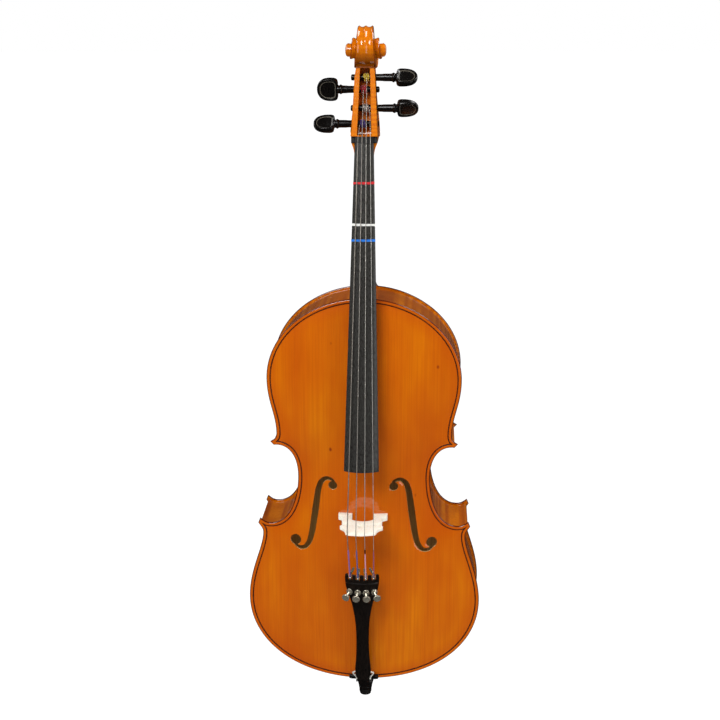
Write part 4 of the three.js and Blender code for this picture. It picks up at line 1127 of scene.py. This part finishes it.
# ---------- fingerboard, nut and tapes ----------
def board_section(z, shrink=0.0):
    """One section of the fingerboard, crowned on top and hollowed below past the neck."""
    w = board_half(z) - shrink
    under, hollow = under_y(z) - shrink, smooth([[455, 6.4], [700, 3], [735, 0], [1031, 0]], z)
    x = np.linspace(-w, w, 25)
    top = board_y(z) + sag(x) + shrink + 0.5 * np.clip((np.abs(x) - w + 1.2) / 1.2, 0, 1) ** 2
    bottom = np.linspace(w, -w, 15)
    scoop = under - hollow * np.sqrt(np.clip(1 - (bottom / (0.8 * w)) ** 2, 0, 1))
    return at_height(np.vstack([np.column_stack([x, top]), np.column_stack([bottom, scoop])]), z)


def fingerboard():
    """One loft from the fingerboard's lower end up to the nut."""
    levels = [*np.linspace(456, 730, 30), *np.linspace(740, NUT_Z - 0.4, 12)]
    rings = [board_section(BOARD_END_Z, 0.5), board_section(BOARD_END_Z + 0.2, 0.2),
             *map(board_section, levels)]
    finish_piece(mesh_object("fingerboard_long", *loft(rings)), BOARD_EBONY, nodes=["fingerboard"])


def string_x(name, spacing):
    """How far a string lies from the middle where strings have this spacing."""
    return STRINGS[name][0] * spacing


def nut_string_y(name):
    """Where a string rests on the nut."""
    return board_y(NUT_Z) + sag(string_x(name, NUT_SPACING)) - 1.3


NUT_HALF = 23.2


def nut():
    """A block that is notched for the strings and cut down at both ends."""
    x = np.linspace(-NUT_HALF, NUT_HALF, 187)
    rings = []
    for k in (0, 0.06, 0.3, 0.55, 0.8, 0.94, 1):
        round_over = 0.7 * (abs(k - 0.5) > 0.49)
        top = board_y(NUT_Z) + sag(np.minimum(np.abs(x), 17)) - 1.2 + k * 4.8
        top = top + 2.5 * step(16.6, 18, np.abs(x))
        top = top + round_over + 0.6 * step(22.4, NUT_HALF, np.abs(x))
        for name, (_, radius, _) in STRINGS.items():
            sunk = np.sqrt(np.clip((radius + 0.2) ** 2 - (x - string_x(name, NUT_SPACING)) ** 2, 0, None))
            top = top + 0.9 * sunk
        z = NUT_Z + k * NUT_LENGTH
        ring = np.vstack([np.column_stack([x, top]), [[NUT_HALF, under_y(z)], [-NUT_HALF, under_y(z)]]])
        rings.append(at_height(ring, z))
    finish_piece(mesh_object("nut_block", *loft(rings)), NUT_EBONY, nodes=["nut"])


def tape(colour, z, slant):
    """A strip stuck over the fingerboard and a little way down both of its sides."""
    half = board_half(z)
    rings = []
    for u in np.linspace(-1.13, 1.13, 41):
        x = np.clip(u, -1, 1) * (half + 0.1)
        down = max(0, abs(u) - 1) * half
        normal = np.array([math.sin(u * 0.3), -math.cos(u * 0.3)]) if down == 0 else np.array([np.sign(u), 0])
        corner = np.array([x, board_y(z) + sag(min(abs(x), half)) + down])
        wave = 0.35 * math.sin(u * 9 + z) * 0.4 + slant * u
        rings.append([[*(corner + normal * lift), z + dz + wave] for dz, lift in
                      ((-2.2, 0.05), (-2.2, 0.32), (2.2, 0.32), (2.2, 0.05))])
    finish_piece(mesh_object(f"{colour}_tape", *loft(rings)), TAPE_LOOKS[colour], nodes=[f"tape_{colour}"])


fingerboard()
nut()
for colour, height, slant in (("red", 962, 0.5), ("white", 890, -0.3), ("blue", 863, 0.25)):
    tape(colour, height, slant)


# ---------- tailpiece ----------
TAIL_SLOPE = 0.176  # how far the tailpiece comes forward for each millimetre up
TUNER_Z = 211
TUNER_SPACING = 15.2
TUNER_FAN = 11.2  # sideways lean of a tuner in degrees, for each step from the middle
TAIL_HALF = [[11, 8.5], [13, 11.2], [18, 13.4], [26, 14.8], [34, 15.2], [52, 13.6], [80, 12.2], [112, 12],
             [150, 14], [168, 16.6], [185, 20], [200, 24.8], [214, 29], [226, 31.2], [236, 31.9],
             [243, 31.7], [245, 31.2], [246.5, 30]]
LEVER_ENDS = (208, 246)
PRONG_Z = 244.6
THREAD_PITCH = 0.7
TAIL_THICK = [[11, 7], [24, 8], [60, 7], [120, 5.5], [190, 6.4], [232, 12], [247, 9.5]]


def tail_y(x, z):
    """Outer face of the tailpiece."""
    return -30 - TAIL_SLOPE * (z - 20) + np.square(x) * 0.0085


def tail_ring(z, half, top_lift=0.0):
    """One cross-section of the tailpiece, with the low ridge down the middle of its neck."""
    x = np.linspace(-half, half, 37)
    ridge = np.maximum(0, 2.6 - np.abs(x) * 0.21) * step(26, 44, z) * (1 - step(172, 206, z))
    edge = np.clip((np.abs(x) - half + 2.2) / 2.2, 0, 1)
    top = tail_y(x, z) - ridge + 1.5 * edge ** 2 + top_lift
    under = tail_y(0, z) + smooth(TAIL_THICK, z)
    low = max(under, top[0] + 1.5)
    ring = np.vstack([np.column_stack([x, top]), [[half, low - 0.6], [half * 0.95, low],
                                                  [-half * 0.95, low], [-half, low - 0.6]]])
    return at_height(ring, z)


def tuner_axis(side):
    """Direction of a tuner's screw, out of the tailpiece and fanned sideways."""
    lean, slope = math.radians(side * TUNER_FAN), math.atan(TAIL_SLOPE)
    x, y = math.sin(lean), -math.cos(lean)
    return np.array([x, y * math.cos(slope), y * math.sin(slope)])


def tuner_base(side):
    """Where a tuner's screw leaves the tailpiece."""
    x = side * TUNER_SPACING
    return np.array([x, tail_y(x, TUNER_Z), TUNER_Z])


def tailpiece():
    """Hollowed under its wide end, with a raised fret, slots for the strings and bores for the screws."""
    rings = [tail_ring(11, smooth(TAIL_HALF, 11) - 0.8, 1.2)]
    rings += [tail_ring(z, smooth(TAIL_HALF, z)) for z in [11.5, 12.5, 15, *range(19, 243, 4)]]
    rings += [tail_ring(z, smooth(TAIL_HALF, z)) for z in (244, 245, 246, 246.4)]
    rings.append(tail_ring(247, smooth(TAIL_HALF, 246.5) - 0.6, 0.7))
    hollow = []
    for z, w in [[198, 17], [204, 22.5], [212, 27], [226, 28.2], [240, 28.2], [262, 28.2]]:
        x = np.linspace(-w, w, 15)
        roof = np.column_stack([x, tail_y(x, z) + 3.4])
        ring = np.vstack([roof, [[w, tail_y(w, z) + 30], [-w, tail_y(w, z) + 30]]])
        hollow.append(at_height(ring, z))
    fret = []
    for z, lift in [[FRET_Z - 1.7, 0.2], [FRET_Z - 1.1, 1.5], [FRET_Z, 2.1], [FRET_Z + 1.1, 1.5],
                    [FRET_Z + 1.7, 0.2]]:
        x = np.linspace(-30.6, 30.6, 33)
        fade = lift * (1 - step(28.5, 30.6, np.abs(x)))
        ring = np.vstack([np.column_stack([x, tail_y(x, z) - fade]),
                          np.column_stack([x, tail_y(x, z) + 1.6])[::-1]])
        fret.append(at_height(ring, z))
    cuts = [loft(hollow)]
    for side, _, _ in STRINGS.values():
        x = side * TAIL_SPACING
        cuts.append(block([x - 3.7, -100, 236], [x + 3.7, -18, 262]))
        cuts.append(lathe([[2.75, -12], [2.75, 12]], tuner_base(side), tuner_axis(side), 28))
    obj = solids("tailpiece_shaped", [loft(rings), loft(fret)], cuts)
    finish_piece(obj, TAIL_EBONY, nodes=["tailpiece"], crease=28)


def tuners():
    """Knob, threaded stem, collar and lever for each string."""
    for name, (side, radius, _) in STRINGS.items():
        axis, base = tuner_axis(side), tuner_base(side)
        cap = [[2.7, 0], [5.2, 0.1], [6.2, 0.5], [6.8, 1.1], [6.95, 1.4], [6.95, 3.3], [6.8, 3.6],
               [6.2, 4.2], [5.4, 4.6], [4.2, 4.5], [3.4, 4.2], [1.2, 4.15], [0, 4.15], [0, 3.6], [2.7, 3.6]]
        knob = lathe(cap, base + axis * 19.5, axis, 120, knurl(0.16, 30, 3, 6))
        finish_piece(mesh_object(f"tuner_{name}_thumb_knob", *knob), NICKEL, f"tuner_turn_{name}",
                     [f"tuner_knob_{name}"])
        stem = [[0, 0], [1.6, 0.1], [2.1, 0.8]]
        for k in range(34):
            stem += [[2.42, 1.1 + k * THREAD_PITCH], [2.12, 1.45 + k * THREAD_PITCH]]
        stem += [[2.3, 25.2], [2.3, 27.6], [1.9, 28], [0, 28]]
        rod = lathe(stem, base + axis * -5.2, axis, 24)
        finish_piece(mesh_object(f"tuner_{name}_stem", *rod), NICKEL, f"tuner_lift_{name}",
                     [f"tuner_screw_{name}"], 20)
        ring = [[2.7, 0], [6.0, 0], [6.25, 0.3], [6.25, 1.8], [5.9, 2.2], [5.2, 2.5], [5.1, 3.4],
                [4.5, 4.3], [4.2, 5], [3.6, 5.2], [2.7, 5.2]]
        collar = sleeve(ring, base + axis * 0.6, axis, 36)
        finish_piece(mesh_object(f"tuner_{name}_collar_ring", *collar), NICKEL,
                     nodes=[f"tuner_collar_{name}"])
        lever(name, side, radius)


def lever(name, side, radius):
    """A lever under the tailpiece whose two raised prongs hold the string's ball."""
    x = side * TAIL_SPACING
    pivot = tail_y(x, FRET_Z) + 6.7 + 0.05 * abs(x)

    def reach_y(z):
        return pivot - TAIL_SLOPE * (z - FRET_Z)

    rings = []
    for z in [208, 208.6, 212, 218, 224, 230, 236, 240, 243, 245.4, 246]:
        centre = x + side * (TUNER_SPACING - TAIL_SPACING) * (1 - min((z - 208) / 30, 1))
        w = 2.0 + 0.6 * step(211, 216, z) - 0.7 * (z in LEVER_ENDS)
        h = 0.9 - 0.3 * (z in LEVER_ENDS)
        rings.append([[centre + dx, reach_y(z) + dy, z] for dx, dy in
                      ((-w, -h + 0.3), (-w + 0.4, -h), (w - 0.4, -h), (w, -h + 0.3), (w, h), (-w, h))])
    parts = [loft(rings)]
    for hand in (-1, 1):
        inner = radius + 0.75
        prong = []
        for share, grow, back in ((0, 0, 0), (0.35, 0, 0.2), (0.7, 0, 0.1), (0.9, 0.25, -0.5),
                                  (1, 0.5, -1.0)):
            y = reach_y(PRONG_Z) + (tail_y(x, 245) - 2.4 - reach_y(PRONG_Z)) * share
            low, high = inner + grow, 3.0 + grow * 0.6
            prong.append([[x + hand * u, y, PRONG_Z + back + v] for u, v in
                          ((low, -1.1), (high, -1.1), (high, 1.0), (low, 1.0))][::hand])
        parts.append(loft(prong))
    tongue = []
    for z, drop, w in ((243, 0, 2.4), (247, -0.6, 2.6), (252, -1.8, 2.6), (257, -2.4, 2.4),
                       (261, -2.4, 2.0), (262.4, -1.8, 1.2)):
        centre = x * (1 - 0.34 * step(243, 266, z))
        tongue.append([[centre + u, reach_y(z) - 4.0 * step(243, 258, z) + drop + v, z] for u, v in
                       ((-w, -0.7), (w, -0.7), (w, 0.7), (-w, 0.7))])
    parts.append(loft(tongue))
    obj = solids(f"tuner_{name}_fork_lever", parts)
    finish_piece(obj, NICKEL, f"tuner_rock_{name}", [f"tuner_lever_{name}"])


tailpiece()
tuners()


# ---------- strings ----------
def string_path(name):
    """A string's corners, from its ball in the tailpiece over bridge and nut to its peg."""
    side, radius, bridge_y = STRINGS[name]
    tail_x, bridge_x, nut_x = (side * s for s in (TAIL_SPACING, BRIDGE_SPACING, NUT_SPACING))
    peg_z = PEGS[name][0]
    nut_y = nut_string_y(name)
    return np.array([
        [tail_x, tail_y(tail_x, TAIL_Z) + 0.2, TAIL_Z],
        [bridge_x, bridge_y - radius + 0.5, BRIDGE_Z - 3],
        [bridge_x, bridge_y - radius, BRIDGE_Z],
        [bridge_x, bridge_y - radius + 0.4, BRIDGE_Z + 3],
        [nut_x, nut_y, NUT_Z],
        [nut_x, nut_y + 1.4, NUT_Z + 6],
        [nut_x * 0.8, box_front(peg_z) + PEG_DEPTH - 8.4 - radius - 0.3, peg_z - 1],
    ])


def stretch(path, z0, z1):
    """The part of a path between two heights."""
    levels = np.concatenate([[z0], path[(path[:, 2] > z0) & (path[:, 2] < z1), 2], [z1]])
    return np.column_stack([np.interp(levels, path[:, 2], path[:, k]) for k in (0, 1, 2)])


SILK_ENDS = {"c": 311, "g": 312, "d": 304, "a": 308}
MARK_LENGTH = 9  # black wrapping past the silk of one string


def ball_end(x, y):
    """The small plated drum at a string's lower end."""
    profile = [[0.7, -1.9], [1.9, -1.8], [2.4, -1.2], [2.4, 1.2], [1.9, 1.8], [0.7, 1.9]]
    return lathe(profile, [x, y, TAIL_Z - 1], [1, 0, 0], 24)


def strings():
    """Each string with its silk and its ball, and a black mark on one of them."""
    for name, (_, radius, _) in STRINGS.items():
        path = string_path(name)
        silk_end = SILK_ENDS[name]
        lower = evenly(stretch(path, TAIL_Z + 1, silk_end), 14)
        taper = np.concatenate([np.full(13, radius + 0.42), [radius + 0.1]])
        parts = [(tube(path, radius, 12), WIRES[name]), (tube(lower, taper, 14), TAIL_SILK[name]),
                 (ball_end(*path[0, :2]), NICKEL)]
        if name == "d":
            mark = evenly(stretch(path, silk_end, silk_end + MARK_LENGTH), 4)
            parts.append((tube(mark, radius + 0.55, 14), EBONY))
        finish_piece(dressed(f"{name}_string", parts), None, nodes=[f"string_{name}"],
                     crease=50)


strings()


# ---------- pegs ----------
# Half of a head's outline: distance from its start against half width.
HEAD_HALF = [[0, 10.5], [0.5, 14.5], [2, 17.8], [5.4, 19.8], [11, 20.6], [19, 20.5], [26, 18.8], [31.4, 15.4],
             [35.2, 10.4], [37.2, 5], [37.6, 0]]
# Rings over one face of the head, from its dished middle to the rim: (size, share of the half thickness).
HEAD_RINGS = [(0.02, 0.42), (0.35, 0.44), (0.6, 0.5), (0.69, 0.57), (0.75, 0.68), (0.84, 0.86), (0.93, 0.97),
              (0.965, 0.86), (0.99, 0.6), (1.0, 0.25)]
HEAD_MIDDLE = 17.5
PAINTED_HIGHLIGHT_BANDS = (3, 15)  # bands between rings with a painted highlight on the slope of the dish


def peg_head(start, side, turn):
    """A flat oval head, dished on both faces."""
    half = through(HEAD_HALF, 26)
    loop = np.vstack([half, (half * [1, -1])[-2::-1]])
    middle = np.array([HEAD_MIDDLE, 0])
    angle = math.radians(turn)
    across = np.array([math.cos(angle), math.sin(angle)])
    normal = np.array([-math.sin(angle), math.cos(angle)])
    rings = []
    for size, share in HEAD_RINGS + [(s, -t) for s, t in HEAD_RINGS[::-1]]:
        flat = middle + (loop - middle) * size
        thick = share * (6.6 - 0.07 * flat[:, 0])
        yz = np.outer(flat[:, 1], across) + np.outer(thick, normal)
        rings.append(np.column_stack([side * (start + flat[:, 0]), yz]))
    points, faces = loft(rings)
    bands = [k // len(loop) for k in range(len(faces))]
    # The highlight bands take the second, lighter material: a painted highlight on the dish.
    return points, faces, [1 if b in PAINTED_HIGHLIGHT_BANDS else 0 for b in bands]


def pegs():
    """Tapered shafts with a turned collar and a flat head, and their turns of string."""
    for name, (z, side, turn, head_x) in PEGS.items():
        y = box_front(z) + PEG_DEPTH
        profile = [[0, -25.6], [3.4, -25.4], [4.6, -24.8], [peg_radius(-24), -24], [peg_radius(30), 30],
                   [6.7, 33], [6.8, head_x - 9], [7.1, head_x - 7.2], [8.1, head_x - 6.4],
                   [8.5, head_x - 5.2], [8.5, head_x - 4.0], [8.0, head_x - 3.0], [7.1, head_x - 2.4],
                   [6.9, head_x - 1.6], [7.6, head_x - 0.6], [7.4, head_x + 1.5], [6.2, head_x + 3.5],
                   [0, head_x + 4]]
        shaft = lathe(profile, [0, y, z], [side, 0, 0], 40)
        head, faces, paint = peg_head(head_x, side, turn)
        parts = [shaft, (head + [0, y, z], faces, paint)]
        obj = solids(f"peg_{name}_turned", parts, (), (PEG_EBONY, PEG_RIM_HIGHLIGHT))
        finish_piece(obj, None, f"peg_body_{name}", [f"peg_{name}"], 34)
        coil(name, y, z)


COIL_RADIUS = 6.9


def coil(name, y, z):
    """Turns of string round a peg, with one crossing over the others."""
    turns, pitch = 4, 2.3
    start = np.clip(string_x(name, NUT_SPACING) * 0.8 - turns * pitch / 2, -8, 6.5 - turns * pitch)
    t = np.linspace(0, turns, turns * 28 + 1)
    angle = 2 * math.pi * t - math.pi / 2
    path = np.column_stack([start + t * pitch, y + COIL_RADIUS * np.sin(angle),
                            z + COIL_RADIUS * np.cos(angle)])
    back = np.linspace(0, 1, 24)
    angle = angle[-1] + 2 * math.pi * back * 0.9
    over = np.column_stack([path[-1, 0] - back * turns * pitch * 0.8, y + 7.2 * np.sin(angle),
                            z + 7.2 * np.cos(angle)])
    obj = dressed(f"{name}_string_turns", [(tube(np.vstack([path, over[1:]]), 0.9, 10), PEG_SILK[name])])
    finish_piece(obj, None, f"peg_body_{name}", [f"peg_winding_{name}"], 60)


pegs()


# ---------- bridge ----------
def slab(loops, place):
    """A flat shape with holes, given thickness; place(points, sign) puts its points on either face."""
    coords, faces = [], []
    for loop in loops:
        loop = [tuple(p) for p in loop]
        loop = loop if turning(loop) > 0 else loop[::-1]
        faces.append(list(range(len(coords), len(coords) + len(loop))))
        coords += loop
    flat, triangles, origins = triangulated(coords, faces, 1e-5)
    kept = [t for t, origin in zip(triangles, origins) if list(origin) == [0]]
    n = len(flat)
    rim = {(a, b) for t in kept for a, b in zip(t, t[1:] + t[:1])}
    skin = [tuple(t) for t in kept] + [tuple(i + n for i in reversed(t)) for t in kept]
    skin += [(b, a, a + n, b + n) for a, b in rim if (b, a) not in rim]
    return np.vstack([place(flat, -1), place(flat, 1)]), skin


def bridge():
    """Cut from one slab that is thinner towards the top, with its feet fitted to the belly's arch."""
    base = -BELLY_ARCH * arch_share(np.array([[0.0, BRIDGE_Z]]))[0]
    crown = through([[-27.6, 84], [-26.6, 87.4], [-23.5, 89.9], [-15, 92.0], [-8, 93.0], [0, 93.4],
                     [8, 92.4], [15, 90.7], [23.5, 87.8], [26.8, 85.4], [27.8, 82]], 49)
    side = through([[28.4, 78], [30.4, 71.5], [34, 65], [38.4, 60.4], [39.2, 57], [37, 54.2], [33, 53.2],
                    [28.6, 55], [24.4, 54.6], [21.4, 51.4], [21.8, 47.4], [25, 44.9], [30.6, 44],
                    [35.6, 40.8], [37, 36.4], [36, 31], [34, 25.5], [34.2, 19], [36.6, 13.6], [40.6, 9.8],
                    [44.6, 6.8], [45.6, 4.6]], 80)
    foot_x = np.linspace(45.5, 20, 14)
    belly = -BELLY_ARCH * arch_share(np.column_stack([foot_x, np.full(14, float(BRIDGE_Z))]))
    foot = np.column_stack([foot_x, base - belly - 0.15])
    leg = through([[20, 3.6], [21.4, 6.2], [23.8, 9.2], [25, 13.6], [24.2, 19], [21.2, 25.6], [16.4, 31],
                   [9.4, 34.4], [0, 35.6]], 28)
    right = np.vstack([side, foot, leg])
    outline = np.vstack([crown, right, (right[:-1] * [-1, 1])[::-1]])
    heart = around([[0, 48.4], [3.2, 51.4], [5.8, 55.4], [6, 58.8], [4.2, 61.4], [1.8, 61.4], [0, 59.6],
                    [-1.8, 61.4], [-4.2, 61.4], [-6, 58.8], [-5.8, 55.4], [-3.2, 51.4]], 40)

    def place(flat, sign):
        half = np.interp(flat[:, 1], [-12, 20, 60, 96], [5.7, 5.0, 3.1, 1.5])
        return np.column_stack([flat[:, 0], base - flat[:, 1], BRIDGE_Z + sign * half])

    obj = mesh_object("bridge_cut", *slab([outline, heart], place))
    soften = obj.modifiers.new("soften", "BEVEL")
    soften.width = 0.45 * MM
    soften.segments = 2
    soften.angle_limit = math.radians(55)
    finish_piece(baked(obj), BARE_MAPLE, nodes=["bridge"], crease=40)


bridge()


# ---------- saddle, tail cord and end pin ----------
SADDLE_HALF = 28
CORD_RADIUS = 1.5
CORD_APART = 13.2  # from the middle to where the cord crosses the saddle


def saddle():
    """A block set into the belly's edge, with a shallow groove for each side of the cord."""
    rings = []
    for z, y in [[0, -2.6], [0.4, -3.6], [1.8, -4.6], [4, -5.6], [7, -6.0], [8.4, -5.2], [9, -3.2]]:
        x = np.linspace(-SADDLE_HALF, SADDLE_HALF, 41)
        top = y + 1.8 * step(22, SADDLE_HALF, np.abs(x))
        top = top + 0.9 * np.exp(-((np.abs(x) - CORD_APART) / 1.6) ** 2)
        ring = np.vstack([np.column_stack([x, top]), [[SADDLE_HALF, 8.5], [-SADDLE_HALF, 8.5]]])
        rings.append(at_height(ring, z))
    finish_piece(mesh_object("saddle_block", *loft(rings)), EBONY, nodes=["saddle"])


def tail_cord():
    """Two ends out of the tailpiece, over the saddle and round the end-pin plug."""
    right = np.array([[4, -28.5, 31], [10, -28, 30.2], [16, -26.4, 28], [19.5, -23, 25],
                      [18.5, -18.5, 19.5], [14.6, -12.6, 11.5], [13.2, -8, 5.5], [13.2, -5.4, -2.6],
                      [13.8, 8, -8.2], [18.4, 40, -10.5]])
    angle = np.linspace(0, math.pi, 9)
    loop = np.column_stack([19.5 * np.cos(angle), MID_Y + 19.5 * np.sin(angle), np.full(9, -11)])
    path = through(np.vstack([right, loop, (right * [-1, 1, 1])[::-1]]), 150)
    # The stretch of cord below the saddle takes the dark cord colour.
    low = np.flatnonzero(path[:, 2] < 3)
    spans = ((path[:low[0] + 1], NYLON), (path[low[0]:low[-1] + 1], DARK_CORD), (path[low[-1]:], NYLON))
    parts = [(tube(span, CORD_RADIUS, 14), look) for span, look in spans]
    finish_piece(dressed("tail_cord_loop", parts), None, nodes=["tail_cord"], crease=60)


CLAMP_Z = -40  # height of the screw that holds the rod


def end_pin():
    """Plug, rod, rubber foot and clamp screw."""
    up = [0, 0, 1]
    bore = [[4.3, -53], [11.8, -53], [12.7, -52.4], [13.2, -50], [13.4, -48.6], [12.9, -47.6],
            [13.6, -46.6], [15, -41], [16.5, -35], [17.5, -28], [17.8, -22], [17.7, -15], [17.2, -12.6],
            [16.4, -11], [17, -9.4], [16.7, -5], [15.4, 3], [12.2, 3.4], [11.2, 38], [4.3, 38]]
    screw_hole = lathe([[2.8, 0], [2.8, 40]], [0, MID_Y + 6, CLAMP_Z], [0, 1, 0], 24)
    obj = solids("end_pin_plug", [sleeve(bore, [0, MID_Y, 0], up, 64)], [screw_hole])
    finish_piece(obj, PLUG_EBONY, nodes=["endpin_plug"])

    rod = lathe([[3.2, -60], [4, -59.2], [4, 439.2], [3.2, 440]], [0, MID_Y, 0], up, 32)
    finish_piece(mesh_object("end_pin_rod", *rod), STEEL, "endpin_body", ["endpin_rod"])

    tip = [[0, -67], [6.4, -67], [7.6, -66.6], [8.6, -65.9]]
    for z in (-65, -63.2, -61.4, -59.6):
        wider = (z + 65) * 0.25
        tip += [[10.4 + wider, z], [10.9 + wider, z + 0.5], [10.5 + wider, z + 1.2]]
    tip += [[12.1, -57], [12.3, -54.6], [11.8, -53.6], [11, -53.4], [4.4, -53.4], [4.4, -60.2], [0, -60.2]]
    foot = lathe(tip, [0, MID_Y, 0], up, 48)
    finish_piece(mesh_object("end_pin_foot", *foot), RUBBER, "endpin_body", ["endpin_foot"])

    grip = [[0, 0], [2, 0], [2.5, 0.5], [2.5, 14], [6.4, 14.3], [6.9, 14.9], [7.05, 15.3], [7.05, 18.8],
            [6.8, 19.4], [6.2, 20], [0, 20.2]]
    screw = lathe(grip, [0, MID_Y + 4.3, CLAMP_Z], [0, 1, 0], 96, knurl(0.18, 24, 5, 8))
    finish_piece(mesh_object("end_pin_thumb_screw", *screw), NICKEL, "clamp_body", ["endpin_screw"])


saddle()
tail_cord()
end_pin()

# ---------- the CAD nodes that stay ----------
for node in ("top_lining", "back_lining", "top_block", "bottom_block", "corner_block_upper_left",
             "corner_block_upper_right", "corner_block_lower_left", "corner_block_lower_right",
             "bass_bar", "sound_post"):
    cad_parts[node].data.materials.clear()
    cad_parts[node].data.materials.append(RAW_SPRUCE)
